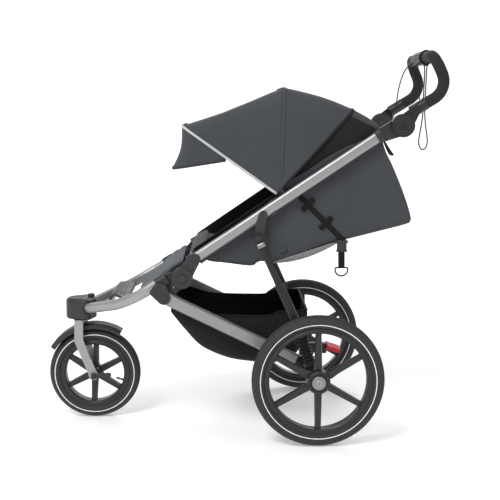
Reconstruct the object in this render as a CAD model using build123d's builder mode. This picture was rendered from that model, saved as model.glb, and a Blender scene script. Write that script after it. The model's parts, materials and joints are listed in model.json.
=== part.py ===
"""Jogging stroller, in millimetres.

Frame: +Z up, the front wheel towards -X, the stroller's left side towards -Y. The origin is on the
ground, under the middle of the length and of the width. A side view point is (x, z); a distance
from the middle plane is given as |y|, and a helper puts it on the left or on the right.
"""

import os
from math import cos, hypot, radians, sin, tan

from build123d import *

os.makedirs("parts", exist_ok=True)

LEFT, RIGHT = -1, 1
SIDES = (("left", LEFT), ("right", RIGHT))

# Driving dimensions: wheels
REAR_RADIUS = 200.0
FRONT_RADIUS = 148.5
REAR_AXLE = (228.0, REAR_RADIUS)
FRONT_AXLE = (-478.0, FRONT_RADIUS)
TYRE_WIDTH = 46.0
REAR_WHEEL_Y = 310.0
STUB_RADIUS = 6.0
RUNNING = 0.05  # radial clearance of a pin in its bore

# Driving dimensions: fold linkage, side view
FOLD_PIVOT = (-180.0, 497.0)
LEG_PIVOT = (-236.0, 438.0)
STRUT_PIVOT = (50.0, 620.0)
LEG_END = (168.0, 239.0)
BEAM = (212.0, 222.0)
SHOCK_LOW = (206.0, 246.0)
SHOCK_TOP = (180.0, 328.0)

# Driving dimensions: frame tubes
TUBE_Y = 205.0
TUBE_WIDTH, TUBE_DEPTH, TUBE_WALL = 22.0, 33.0, 1.8
UPPER_LOW, UPPER_HIGH = (-152.0, 548.0), (415.0, 925.5)
LOWER_START, LOWER_BEND, LOWER_FRONT = (-232.0, 491.0), (-350.0, 418.0), (-498.0, 368.0)
LOWER_FRONT_Y = 38.0
SWIVEL_X = -520.0

# Driving dimensions: handlebar
TILT_PIVOT = (485.0, 957.0)
BAR_Y = 196.0
BAR_START, CUFF_LENGTH = (512.0, 997.0), 48.5
BAR_BEND, CROSSBAR = (623.0, 1064.0), (578.0, 1165.0)
BAR_RADIUS, GRIP_RADIUS = 12.5, 17.5
BEND_RADIUS, ELBOW_RADIUS = 58.0, 48.0
TWIST_HALF, COLLAR_OUT = 61.0, 80.0

# Driving dimensions: seat and canopy
POD_Y, POD_WALL = 187.0, 6.0
BIGHT = (80.0, 562.0)
RECLINE_ANGLE = 16.0
BACKREST_LENGTH = 400.0
CANOPY_PIVOT = (122.0, 762.0)
CANOPY_Y, CANOPY_SKIN = 212.0, 2.5
CANOPY_REAR, CANOPY_MID, CANOPY_FRONT = (342.0, 1008.0), (130.0, 1072.0), (-180.0, 958.0)
VISOR_PIVOT = (-46.0, 868.0)
VISOR_Y, VISOR_RADIUS = 216.5, 172.0


def finish(part, label):
    part.part.label = label
    export_step(part.part, f"parts/{label}.step")


def side_plane(side, inner):
    """Side view plane at |y| = inner, whose extrusion by a positive amount goes outwards."""
    return Plane(origin=(0, side * inner, 0), x_dir=(1, 0, 0), z_dir=(0, side, 0))


def on_side(side, point):
    """A side view point in the local coordinates of that side's plane."""
    return (point[0], -side * point[1])


def between(a, b, share):
    return tuple(p + (q - p) * share for p, q in zip(a, b))


def polar(centre, radius, angle):
    return (centre[0] + radius * cos(radians(angle)), centre[1] + radius * sin(radians(angle)))


def slab(side, inner, outer, points, mode=Mode.ADD):
    """Straight-sided outline (x, z) extruded from |y| inner to outer."""
    with BuildSketch(side_plane(side, inner)) as outline:
        with BuildLine():
            Polyline(*[on_side(side, p) for p in points], close=True)
        make_face()
    extrude(outline.sketch, amount=outer - inner, mode=mode)


def plate(side, inner, outer, discs, mode=Mode.ADD):
    """Plate whose outline wraps round discs (x, z, radius)."""
    with BuildSketch(side_plane(side, inner)) as outline:
        for x, z, radius in discs:
            with Locations(on_side(side, (x, z))):
                Circle(radius)
        if len(discs) > 1:
            make_hull()
    extrude(outline.sketch, amount=outer - inner, mode=mode)


def pin(side, inner, outer, centre, radius, mode=Mode.ADD):
    plate(side, inner, outer, [(*centre, radius)], mode)


def wide(points, half, mode=Mode.ADD):
    """Straight-sided outline (x, z) extruded across the whole width."""
    slab(RIGHT, -half, half, points, mode)


def rod(start, end, radius, mode=Mode.ADD):
    axis = Vector(*end) - Vector(*start)
    with BuildSketch(Plane(origin=start, z_dir=axis)) as section:
        Circle(radius)
    extrude(section.sketch, amount=axis.length, mode=mode)


def oval_rod(start, end, width, depth, mode=Mode.ADD):
    """Flat-oval bar between two points, width across the stroller and depth in the side view."""
    axis = Vector(*end) - Vector(*start)
    with BuildSketch(Plane(origin=start, x_dir=(0, 1, 0), z_dir=axis)) as section:
        RectangleRounded(width, depth, 0.48 * min(width, depth))
    extrude(section.sketch, amount=axis.length, mode=mode)


def along(start, end, distance):
    return between(start, end, distance / hypot(end[0] - start[0], end[1] - start[1]))


# ---------------------------------------------------------------- upper frame

for name, side in SIDES:
    low = (UPPER_LOW[0], side * TUBE_Y, UPPER_LOW[1])
    high = (UPPER_HIGH[0], side * TUBE_Y, UPPER_HIGH[1])
    with BuildPart() as upper_tube:
        oval_rod(low, high, TUBE_WIDTH, TUBE_DEPTH)
        oval_rod(low, high, TUBE_WIDTH - 2 * TUBE_WALL, TUBE_DEPTH - 2 * TUBE_WALL, Mode.SUBTRACT)
    finish(upper_tube, f"upper_tube_{name}")

    # Root half of the fold hinge: a disc outside the other half, and a socket round the tube's end.
    socket_low = along(UPPER_LOW, UPPER_HIGH, -8.0)
    socket_high = along(UPPER_LOW, UPPER_HIGH, 9.0)
    with BuildPart() as hinge_housing:
        oval_rod((socket_low[0], side * TUBE_Y, socket_low[1]),
                 (socket_high[0], side * TUBE_Y, socket_high[1]), 30, 41)
        pin(side, 206.5, 224, FOLD_PIVOT, 32)
        plate(side, 206.5, 219, [(*FOLD_PIVOT, 26), (*along(UPPER_LOW, UPPER_HIGH, 12), 18)])
        pin(side, 200, 230, FOLD_PIVOT, STUB_RADIUS + RUNNING, Mode.SUBTRACT)
        oval_rod(low, high, TUBE_WIDTH, TUBE_DEPTH, Mode.SUBTRACT)
    finish(hinge_housing, f"hinge_housing_{name}")

    # Fixed half of the handlebar hub, with the push button's pocket on its inner face.
    socket_start = along(UPPER_HIGH, UPPER_LOW, 9.0)
    socket_end = along(UPPER_HIGH, UPPER_LOW, -8.0)
    with BuildPart() as handlebar_hub:
        oval_rod((socket_start[0], side * TUBE_Y, socket_start[1]),
                 (socket_end[0], side * TUBE_Y, socket_end[1]), 29, 40)
        pin(side, 190.5, 204.5, TILT_PIVOT, 35)
        plate(side, 190.5, 204.5, [(*TILT_PIVOT, 30), (*along(UPPER_HIGH, UPPER_LOW, 8), 19)])
        pin(side, 190.5, 199, TILT_PIVOT, 12.3, Mode.SUBTRACT)
        oval_rod(low, high, TUBE_WIDTH, TUBE_DEPTH, Mode.SUBTRACT)
    finish(handlebar_hub, f"handlebar_hub_{name}")

    with BuildPart() as hub_button:
        pin(side, 185.5, 193, TILT_PIVOT, 12)
        chamfer(hub_button.faces().sort_by(Axis.Y)[0 if side == RIGHT else -1].edges(), 1.2)
    finish(hub_button, f"hub_button_{name}")

    # Strut bracket on the tube's outer face and canopy pivot cheek on its inner face.
    with BuildPart() as frame_bracket:
        plate(side, 216, 222, [(*STRUT_PIVOT, 15), (66, 690, 13)])
        pin(side, 222, 240, STRUT_PIVOT, 5)
        pin(side, 238.6, 242, STRUT_PIVOT, 9)
        plate(side, 190.4, 194, [(*CANOPY_PIVOT, 9), (130, 733, 12)])
        pin(side, 194, 209, CANOPY_PIVOT, 4)
    finish(frame_bracket, f"frame_bracket_{name}")

with BuildPart() as seat_crossbar:
    rod((-150, -189.8, 560), (-150, 189.8, 560), 9)
    rod((-150, -189.8, 560), (-150, 189.8, 560), 7.4, Mode.SUBTRACT)
finish(seat_crossbar, "seat_crossbar")

# ---------------------------------------------------------------- seat

POD_FLOOR = [(-150, 578), (-118, 543), (-50, 535), (33, 525), (107, 536), (258, 589), (321, 604),
             (517, 655), (525, 671), (521, 690), (498, 757), (464, 835), (430, 912)]
POD_TOP = [(420, 928), (126, 770), (64, 724), (-137, 588)]
POD_HOLLOW = [(-172, 606), (-112, 550), (-50, 543), (33, 533), (106, 544), (256, 597), (320, 612),
              (511, 661), (517, 672), (513, 689), (490, 754), (456, 832), (422, 909), (400, 990),
              (100, 860), (-200, 700)]

with BuildPart() as seat_pod:
    wide(POD_FLOOR + POD_TOP, POD_Y)
    wide(POD_HOLLOW, POD_Y - POD_WALL, Mode.SUBTRACT)
finish(seat_pod, "seat_pod")

with BuildPart() as seat_cushion:
    wide([(-142, 584), (-108, 553), (-50, 546), (33, 536), (66, 540), (66, 570), (30, 574),
          (-60, 582), (-106, 590), (-130, 594)], 172)
    fillet(seat_cushion.edges().filter_by(Axis.Y).group_by(Axis.Z)[-1], 4)
finish(seat_cushion, "seat_cushion")

# Buckle with its button's pocket, the waist belt on either side and the crotch strap below.
with BuildPart() as harness:
    with BuildSketch(Plane.XY.offset(586)):
        RectangleRounded(46, 52, 12)
    extrude(amount=15)
    for _, side in SIDES:
        with Locations((2, side * 98, 592)):
            Box(25, 146, 2.2)
    with BuildSketch(Plane.XY.offset(596)):
        RectangleRounded(24.6, 24.6, 6)
    extrude(amount=6, mode=Mode.SUBTRACT)
finish(harness, "harness")

with BuildPart() as harness_button:
    with BuildSketch(Plane.XY.offset(599.5)):
        RectangleRounded(24, 24, 5.7)
    extrude(amount=4.5)
finish(harness_button, "harness_button")

backrest_plane = Plane(origin=(BIGHT[0], 0, BIGHT[1]),
                       x_dir=(cos(radians(RECLINE_ANGLE)), 0, sin(radians(RECLINE_ANGLE))),
                       z_dir=(0, -1, 0))
with BuildPart() as backrest:
    with BuildSketch(backrest_plane):
        with BuildLine():
            Polyline((0, -7), (BACKREST_LENGTH, -7), (BACKREST_LENGTH, 15), (12, 15), (0, 8), close=True)
        make_face()
    extrude(amount=166, both=True)
finish(backrest, "backrest")

STRAP_Y = 58.0
with BuildPart() as shoulder_straps:
    for _, side in SIDES:
        shifted = backrest_plane.offset(-side * STRAP_Y)
        with BuildSketch(shifted) as strap:
            with BuildLine():
                Polyline((55, 16), (300, 16), (300, 18.4), (250, 18.6), (240, 25), (110, 25),
                         (100, 18.6), (55, 18.4), close=True)
            make_face()
        extrude(strap.sketch, amount=17, both=True)
finish(shoulder_straps, "shoulder_straps")

# Recline strap with cross tabs, buckle, hanging webbing and D-ring, on both sides.
STRAP_TOP, STRAP_LOW = (182.0, 738.0), (304.0, 603.0)
with BuildPart() as recline_straps:
    for _, side in SIDES:
        run = Vector(STRAP_LOW[0] - STRAP_TOP[0], STRAP_LOW[1] - STRAP_TOP[1])
        across = Vector(-run.Y, run.X).normalized() * 8.5
        slab(side, 187.4, 189.6, [(STRAP_TOP[0] + across.X, STRAP_TOP[1] + across.Y),
                                  (STRAP_LOW[0] + across.X, STRAP_LOW[1] + across.Y),
                                  (STRAP_LOW[0] - across.X, STRAP_LOW[1] - across.Y),
                                  (STRAP_TOP[0] - across.X, STRAP_TOP[1] - across.Y)])
        slab(side, 187.6, 195, [(290, 607), (314, 611), (320, 580), (297, 576)])
        slab(side, 188.4, 190.4, [(300, 578), (318, 580), (316, 524), (300, 524)])
        plate(side, 187, 191, [(308, 512, 17)])
        pin(side, 187, 191, (308, 512), 12.5, Mode.SUBTRACT)
finish(recline_straps, "recline_straps")

# ---------------------------------------------------------------- hood and canopy


def roof_edges(part, low, high):
    """The two long edges of a roof that runs from low to high in the side view."""
    direction = Vector(high[0] - low[0], 0, high[1] - low[1]).normalized()
    level = [e for e in part.edges() if abs((e % 0.5).dot(direction)) > 0.999]
    top = max((e @ 0.5).Z for e in level)
    return [e for e in level if (e @ 0.5).Z > top - 0.5]


def fabric_shell(outline, hollow, half, roof, corner):
    """Skin across the width: the outline less a hollow that runs out of its open sides."""
    with BuildPart() as inner:
        wide(hollow, half - CANOPY_SKIN)
        fillet(roof_edges(inner, *roof), corner - CANOPY_SKIN)
    with BuildPart() as shell:
        wide(outline, half)
        fillet(roof_edges(shell, *roof), corner)
        add(inner.part, mode=Mode.SUBTRACT)
    return shell


def lowered(point, normal, amount):
    return (point[0] - normal[0] * amount, point[1] - normal[1] * amount)


def canopy_panel(rear, front):
    """Fabric wedge between two hoops, open at both hoops and towards the pivot."""
    run = hypot(front[0] - rear[0], front[1] - rear[1])
    lengthwise = ((front[0] - rear[0]) / run, (front[1] - rear[1]) / run)
    outward = (lengthwise[1], -lengthwise[0])
    if outward[1] < 0:
        outward = (-outward[0], -outward[1])
    near_rear = along(CANOPY_PIVOT, rear, 34)
    near_front = along(CANOPY_PIVOT, front, 34)
    far_rear = between(rear, front, -0.35)
    far_front = between(rear, front, 1.35)
    hollow = [lowered(far_rear, outward, CANOPY_SKIN), lowered(far_front, outward, CANOPY_SKIN),
              (CANOPY_PIVOT[0] - 260, CANOPY_PIVOT[1] - 60), (CANOPY_PIVOT[0] + 260, CANOPY_PIVOT[1] - 60)]
    return fabric_shell([near_rear, rear, front, near_front], hollow, CANOPY_Y,
                        (rear, front), 44)


rear_hoop_clear = along(CANOPY_MID, CANOPY_REAR, 234)
finish(canopy_panel(rear_hoop_clear, between(CANOPY_MID, CANOPY_REAR, 0.008)), "canopy_rear_panel")
finish(canopy_panel(between(CANOPY_MID, CANOPY_FRONT, 0.008), CANOPY_FRONT), "canopy_front_panel")

HOOD_REAR_TOP, HOOD_REAR_LOW = (436.0, 937.0), (420.0, 917.0)
HOOD_FRONT_TOP = (340.0, 998.0)
HOOD_SLOPE = (0.54, 0.84)
HOOD_OUTLINE = [(134, 764), HOOD_FRONT_TOP, HOOD_REAR_TOP, HOOD_REAR_LOW, (150, 740)]
HOOD_HOLLOW = [(60, 740), (254, 1048), lowered(HOOD_FRONT_TOP, HOOD_SLOPE, CANOPY_SKIN),
               lowered(HOOD_REAR_TOP, HOOD_SLOPE, CANOPY_SKIN), (520, 881), (330, 700)]
finish(fabric_shell(HOOD_OUTLINE, HOOD_HOLLOW, 190, (HOOD_FRONT_TOP, HOOD_REAR_TOP), 14), "rear_hood")


def hoop(tip, leg_y, eye_inner, eye_outer, corner):
    """Round rod from an eye on each canopy pivot up to a bar across the top."""
    start = along(CANOPY_PIVOT, tip, 6)
    with BuildPart() as bow:
        with BuildLine():
            FilletPolyline((start[0], -leg_y, start[1]), (tip[0], -leg_y, tip[1]),
                           (tip[0], leg_y, tip[1]), (start[0], leg_y, start[1]), radius=corner)
        direction = (tip[0] - start[0], 0, tip[1] - start[1])
        with BuildSketch(Plane(origin=(start[0], -leg_y, start[1]), z_dir=direction)):
            Circle(3.2)
        sweep()
        for _, side in SIDES:
            pin(side, eye_inner, eye_outer, CANOPY_PIVOT, 9)
            pin(side, eye_inner - 1, eye_outer + 1, CANOPY_PIVOT, 4 + RUNNING, Mode.SUBTRACT)
    return bow


finish(hoop(along(CANOPY_MID, CANOPY_PIVOT, 9), 205.2, 201.4, 208.9, 42), "canopy_mid_hoop")
finish(hoop(along(CANOPY_FRONT, CANOPY_PIVOT, 9), 197.6, 194.3, 201.0, 38), "canopy_front_hoop")

with BuildPart() as canopy_visor:
    with BuildSketch(side_plane(RIGHT, -VISOR_Y)) as outline:
        with BuildLine():
            arc_start, arc_end = polar(VISOR_PIVOT, VISOR_RADIUS, 146), polar(VISOR_PIVOT, VISOR_RADIUS, 195)
            arc_mid = polar(VISOR_PIVOT, VISOR_RADIUS, 170.5)
            ThreePointArc(on_side(RIGHT, arc_start), on_side(RIGHT, arc_mid), on_side(RIGHT, arc_end))
            Polyline(on_side(RIGHT, arc_end), on_side(RIGHT, polar(VISOR_PIVOT, 90, 184)),
                     on_side(RIGHT, polar(VISOR_PIVOT, 8, 200)), on_side(RIGHT, polar(VISOR_PIVOT, 10, 120)),
                     on_side(RIGHT, arc_start))
        make_face()
    extrude(outline.sketch, amount=2 * VISOR_Y)
    pin(RIGHT, CANOPY_SKIN - VISOR_Y, VISOR_Y - CANOPY_SKIN, VISOR_PIVOT, VISOR_RADIUS - CANOPY_SKIN,
        Mode.SUBTRACT)
finish(canopy_visor, "canopy_visor")

# ---------------------------------------------------------------- handlebar

CUFF_END = along(BAR_START, BAR_BEND, CUFF_LENGTH)
with BuildPart() as handlebar_bar:
    with BuildLine():
        FilletPolyline((BAR_START[0], -BAR_Y, BAR_START[1]), (BAR_BEND[0], -BAR_Y, BAR_BEND[1]),
                       (CROSSBAR[0], -BAR_Y, CROSSBAR[1]), (CROSSBAR[0], BAR_Y, CROSSBAR[1]),
                       (BAR_BEND[0], BAR_Y, BAR_BEND[1]), (BAR_START[0], BAR_Y, BAR_START[1]),
                       radius=(BEND_RADIUS, ELBOW_RADIUS, ELBOW_RADIUS, BEND_RADIUS))
    with BuildSketch(Plane(origin=(BAR_START[0], -BAR_Y, BAR_START[1]),
                           z_dir=(BAR_BEND[0] - BAR_START[0], 0, BAR_BEND[1] - BAR_START[1]))):
        Circle(BAR_RADIUS)
    sweep()
    for _, side in SIDES:
        # Moving hub half, cuff round the bar, cable collar and the cable's ferrule.
        pin(side, 205.5, 221, TILT_PIVOT, 35)
        plate(side, 205.5, 215, [(*TILT_PIVOT, 28), (*along(BAR_START, BAR_BEND, 14), 14)])
        rod((BAR_START[0], side * BAR_Y, BAR_START[1]), (CUFF_END[0], side * BAR_Y, CUFF_END[1]), 18.5)
        pin(side, TWIST_HALF + 1, COLLAR_OUT, CROSSBAR, 20)
        rod((566, side * 71, 1156), (552, side * 71, 1145.5), 4.5)
    # Lug for the wrist strap under the left collar.
    with Locations((577, -71, 1143.5)):
        Box(16, 14, 10)
finish(handlebar_bar, "handlebar_bar")

with BuildPart() as handlebar_grip:
    for _, side in SIDES:
        with BuildLine() as route:
            FilletPolyline((CUFF_END[0], side * BAR_Y, CUFF_END[1]), (BAR_BEND[0], side * BAR_Y, BAR_BEND[1]),
                           (CROSSBAR[0], side * BAR_Y, CROSSBAR[1]),
                           (CROSSBAR[0], side * (COLLAR_OUT + 0.2), CROSSBAR[1]),
                           radius=(BEND_RADIUS, ELBOW_RADIUS))
        with BuildSketch(Plane(origin=(CUFF_END[0], side * BAR_Y, CUFF_END[1]),
                               z_dir=(BAR_BEND[0] - BAR_START[0], 0, BAR_BEND[1] - BAR_START[1]))) as ring:
            Circle(GRIP_RADIUS)
            Circle(BAR_RADIUS + 0.1, mode=Mode.SUBTRACT)
        sweep(ring.sketch, path=route.wires()[0])
finish(handlebar_grip, "handlebar_grip")

with BuildPart() as brake_twist:
    pin(RIGHT, -TWIST_HALF, TWIST_HALF, CROSSBAR, 19.5)
    for angle in range(0, 360, 30):
        centre = polar(CROSSBAR, 19.5, angle)
        pin(RIGHT, -TWIST_HALF + 8, TWIST_HALF - 8, centre, 2.2)
    pin(RIGHT, -TWIST_HALF - 1, TWIST_HALF + 1, CROSSBAR, BAR_RADIUS + RUNNING, Mode.SUBTRACT)
finish(brake_twist, "brake_twist")


def cord_tube(points, radius):
    """Straight runs joined by arcs as large as the runs allow. Returns the part and its arc radii."""
    vectors = [Vector(*p) for p in points]
    radii = []
    for before, here, after in zip(vectors, vectors[1:], vectors[2:]):
        run_in, run_out = here - before, after - here
        half_turn = radians(run_in.get_angle(run_out)) / 2
        radii.append(0.45 * min(run_in.length, run_out.length) / tan(half_turn))
    with BuildPart() as tube:
        with BuildLine() as path:
            FilletPolyline(*vectors, radius=radii)
        with BuildSketch(Plane(origin=points[0], z_dir=vectors[1] - vectors[0])):
            Circle(radius)
        sweep()
    expected = path.wires()[0].length * Circle(radius, mode=Mode.PRIVATE).area
    print("cord: radii", [round(r) for r in radii], "volume share", round(tube.part.volume / expected, 4),
          "length", round(path.wires()[0].length))
    return tube


CABLE_RADIUS = 2.0
BRAKE_CABLE_LEFT = [(551.8, -71, 1145.3), (541, -71, 1137.2), (537, -79, 1110), (543, -96, 1080),
                    (548, -122, 1052), (545, -150, 1030), (540, -176.6, 1016)]
BRAKE_CABLE_RIGHT = [(551.8, 71, 1145.3), (541, 71, 1137.2), (530, 82, 1108), (525, 102, 1076),
                     (525, 130, 1046), (528, 155, 1024), (532, 176.6, 1011)]
finish(cord_tube(BRAKE_CABLE_LEFT, CABLE_RADIUS), "brake_cable_left")
finish(cord_tube(BRAKE_CABLE_RIGHT, CABLE_RADIUS), "brake_cable_right")

WRIST_RADIUS = 2.0
WRIST_STRAP = [(573, -72, 1138.2), (574, -73, 1110), (572, -74, 1060), (572, -75, 1008), (568, -76, 962),
               (562, -76, 926), (559, -75, 902), (564, -74, 885), (574, -73, 878), (584, -72, 885),
               (589, -71, 902), (586, -70, 926), (580, -70, 962), (577, -70, 1008), (579, -70, 1060),
               (580, -70, 1110), (581, -70, 1138.2)]
finish(cord_tube(WRIST_STRAP, WRIST_RADIUS), "wrist_strap")

# ---------------------------------------------------------------- front frame

for name, side in SIDES:
    path_points = [(LOWER_START[0], side * TUBE_Y, LOWER_START[1]),
                   (LOWER_BEND[0], side * TUBE_Y, LOWER_BEND[1]),
                   (LOWER_FRONT[0], side * LOWER_FRONT_Y, LOWER_FRONT[1])]
    start_direction = Vector(*path_points[1]) - Vector(*path_points[0])
    start_plane = Plane(origin=path_points[0], x_dir=(0, 1, 0), z_dir=start_direction)
    with BuildLine() as lower_path:
        FilletPolyline(*path_points, radius=185)
    with BuildPart() as lower_tube:
        with BuildSketch(start_plane) as wall:
            RectangleRounded(24, TUBE_DEPTH, 11)
            RectangleRounded(20, TUBE_DEPTH - 4, 9, mode=Mode.SUBTRACT)
        sweep(wall.sketch, path=lower_path.wires()[0])
    finish(lower_tube, f"lower_tube_{name}")

    # Front half of the hinge: disc, socket round the lower tube, lug for the rear leg and both pins.
    socket_far = along(LOWER_START, LOWER_BEND, 30)
    socket_near = along(LOWER_START, LOWER_BEND, -7)
    with BuildPart() as hinge_plate:
        oval_rod((socket_near[0], side * TUBE_Y, socket_near[1]),
                 (socket_far[0], side * TUBE_Y, socket_far[1]), 31, 40)
        pin(side, 188, 205.5, FOLD_PIVOT, 32)
        plate(side, 188, 203.5, [(*FOLD_PIVOT, 24), (*along(LOWER_START, LOWER_BEND, 8), 18)])
        plate(side, 188, 203.5, [(*FOLD_PIVOT, 22), (*LEG_PIVOT, 19)])
        pin(side, 205, 229, FOLD_PIVOT, STUB_RADIUS)
        pin(side, 225, 230, FOLD_PIVOT, 12)
        pin(side, 203, 231, LEG_PIVOT, 5)
        pin(side, 226, 231, LEG_PIVOT, 9)
        # Outer lug that covers the leg's end.
        plate(side, 225.6, 229, [(*LEG_PIVOT, 21), (-266, 455, 12), (-240, 470, 12)])
        plate(side, 214, 229, [(-262, 466, 9), (-246, 476, 9)])
        with BuildSketch(start_plane) as bore:
            RectangleRounded(24, TUBE_DEPTH, 11)
        extrude(bore.sketch, amount=80, mode=Mode.SUBTRACT)
    finish(hinge_plate, f"hinge_plate_{name}")

HOUSING_LOW, HOUSING_HIGH = 332.0, 400.0
with BuildPart() as front_housing:
    with BuildSketch(Plane.XY.offset(HOUSING_LOW)):
        with Locations((-527, 0)):
            Circle(41)
        with Locations((-503, -34), (-503, 34)):
            Circle(22)
        with Locations((-490, 0)):
            Circle(20)
        make_hull()
    extrude(amount=HOUSING_HIGH - HOUSING_LOW)
    fillet(front_housing.faces().sort_by(Axis.Z)[-1].edges(), 13)
    chamfer(front_housing.faces().sort_by(Axis.Z)[0].edges(), 4)
    for _, side in SIDES:
        bend = Vector(LOWER_BEND[0], side * TUBE_Y, LOWER_BEND[1])
        front = Vector(LOWER_FRONT[0], side * LOWER_FRONT_Y, LOWER_FRONT[1])
        with BuildSketch(Plane(origin=front, z_dir=bend - front)) as pocket:
            Circle(18)
        extrude(pocket.sketch, amount=90, mode=Mode.SUBTRACT)
    with Locations((SWIVEL_X, 0, HOUSING_LOW + 26)):
        Cylinder(12 + RUNNING, 52, mode=Mode.SUBTRACT)
    with Locations((-486, 0, HOUSING_HIGH - 9)):
        Cylinder(5.2, 20, mode=Mode.SUBTRACT)
finish(front_housing, "front_housing")

with BuildPart() as swivel_lock:
    with Locations((-486, 0, 396)):
        Cylinder(5, 20)
    with Locations((-486, 0, 406)):
        Cylinder(11, 10)
    fillet(swivel_lock.faces().sort_by(Axis.Z)[-1].edges(), 4)
finish(swivel_lock, "swivel_lock")

FOOTREST_HIGH = [(-428, 378), (-414, 420), (-403, 431), (-384, 430), (-356, 422), (-352, 413),
                 (-384, 421), (-400, 421), (-406, 414), (-420, 374)]
with BuildPart() as footrest:
    wide(FOOTREST_HIGH, 180)
    with BuildSketch(Plane.XY.offset(360)):
        with BuildLine():
            Polyline((-340, -152), (-362, -150), (-430, -74), (-430, 74), (-362, 150), (-340, 152), close=True)
        make_face()
    extrude(amount=100, mode=Mode.INTERSECT)
finish(footrest, "footrest")

with BuildPart() as leg_rest:
    wide([(-338, 422), (-290, 463), (-268, 480), (-252, 499), (-214, 530), (-176, 552), (-171, 540),
          (-208, 516), (-242, 482), (-262, 464), (-284, 450), (-330, 412)], 182)
    with BuildSketch(Plane.XY.offset(400)):
        with BuildLine():
            Polyline((-160, -182), (-262, -182), (-350, -150), (-350, 150), (-262, 182), (-160, 182), close=True)
        make_face()
    extrude(amount=170, mode=Mode.INTERSECT)
finish(leg_rest, "leg_rest")

# ---------------------------------------------------------------- fork and front wheel

CROWN_LOW, CROWN_HIGH = 321.0, 331.5
BLADE_INNER, BLADE_OUTER = 40.0, 52.0
with BuildPart() as front_fork:
    with BuildSketch(Plane.XY.offset(CROWN_LOW)):
        with Locations((SWIVEL_X, 0)):
            Circle(22)
        with Locations((SWIVEL_X - 2, -40), (SWIVEL_X - 2, 40)):
            RectangleRounded(30, 24, 7)
        make_hull()
    extrude(amount=CROWN_HIGH - CROWN_LOW)
    with Locations((SWIVEL_X, 0, (CROWN_HIGH + 382) / 2)):
        Cylinder(12, 382 - CROWN_HIGH)
    for _, side in SIDES:
        plate(side, BLADE_INNER, BLADE_OUTER, [(SWIVEL_X - 2, 318, 14), (SWIVEL_X - 3, 264, 14)])
        plate(side, BLADE_INNER, BLADE_OUTER, [(SWIVEL_X - 3, 264, 14), (-487, 170, 12.5)])
        plate(side, BLADE_INNER, BLADE_OUTER, [(-487, 170, 12.5), (*FRONT_AXLE, 15)])
        pin(side, 30, 60, FRONT_AXLE, 5, Mode.SUBTRACT)
finish(front_fork, "front_fork")

FENDER_INNER, FENDER_OUTER = 164.0, 167.0
with BuildPart() as front_fender:
    with BuildSketch(side_plane(RIGHT, -32)) as sector:
        with BuildLine():
            for start, end, radius in ((57, 147, FENDER_OUTER), (147, 57, FENDER_OUTER - 17)):
                ThreePointArc(*[on_side(RIGHT, polar(FRONT_AXLE, radius, a))
                                for a in (start, (start + end) / 2, end)])
            Line(on_side(RIGHT, polar(FRONT_AXLE, FENDER_OUTER, 147)),
                 on_side(RIGHT, polar(FRONT_AXLE, FENDER_OUTER - 17, 147)))
            Line(on_side(RIGHT, polar(FRONT_AXLE, FENDER_OUTER - 17, 57)),
                 on_side(RIGHT, polar(FRONT_AXLE, FENDER_OUTER, 57)))
        make_face()
    extrude(sector.sketch, amount=64)
    fillet([e for e in front_fender.edges() if e.length > 240
            and hypot((e @ 0.5).X - FRONT_AXLE[0], (e @ 0.5).Z - FRONT_AXLE[1]) > FENDER_OUTER - 1], 9)
    pin(RIGHT, -29, 29, FRONT_AXLE, FENDER_INNER, Mode.SUBTRACT)
    with Locations((SWIVEL_X + 4, 0, 315.5)):
        Box(22, 26, 11)
    pin(RIGHT, -29, 29, FRONT_AXLE, FENDER_INNER, Mode.SUBTRACT)
finish(front_fender, "front_fender")

with BuildPart() as front_axle:
    pin(RIGHT, -53, 58, FRONT_AXLE, 5)
    pin(RIGHT, 52.2, 59, FRONT_AXLE, 9)
    for _, side in SIDES:
        pin(side, 30.6, 39.6, FRONT_AXLE, 9)
finish(front_axle, "front_axle")

LEVER_Y = -61.0
with BuildPart() as axle_lever:
    with Locations((FRONT_AXLE[0], LEVER_Y, FRONT_AXLE[1])):
        Cylinder(7.5, 16)
    with BuildSketch(Plane.XZ.offset(-LEVER_Y - 2.5)) as paddle:
        with Locations((FRONT_AXLE[0] + 5, FRONT_AXLE[1]), (FRONT_AXLE[0] + 48, FRONT_AXLE[1] + 4)):
            Circle(6)
        with Locations((FRONT_AXLE[0] + 50, FRONT_AXLE[1] + 4)):
            Circle(8.5)
        make_hull()
    extrude(paddle.sketch, amount=5)
finish(axle_lever, "axle_lever")


def ring_plane(centre, y):
    """Plane through the wheel's axis: local x runs along the axle and local y is the radius."""
    return Plane(origin=(centre[0], y, centre[1]), x_dir=(0, 1, 0), z_dir=(1, 0, 0))


def tyre(centre, y, radius, bead):
    """Hollow casing, open towards the rim between its two beads."""
    half_height = (radius - bead) / 2
    half_width = TYRE_WIDTH / 2
    with BuildPart() as casing:
        with BuildSketch(ring_plane(centre, y)):
            with Locations((0, radius - half_height)):
                Ellipse(half_width, half_height)
                Ellipse(half_width - 3.5, half_height - 4, mode=Mode.SUBTRACT)
            with Locations((0, bead + half_height / 2)):
                Rectangle(18, half_height + 4, mode=Mode.SUBTRACT)
        revolve(axis=Axis((centre[0], y, centre[1]), (0, 1, 0)))
    return casing


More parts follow.
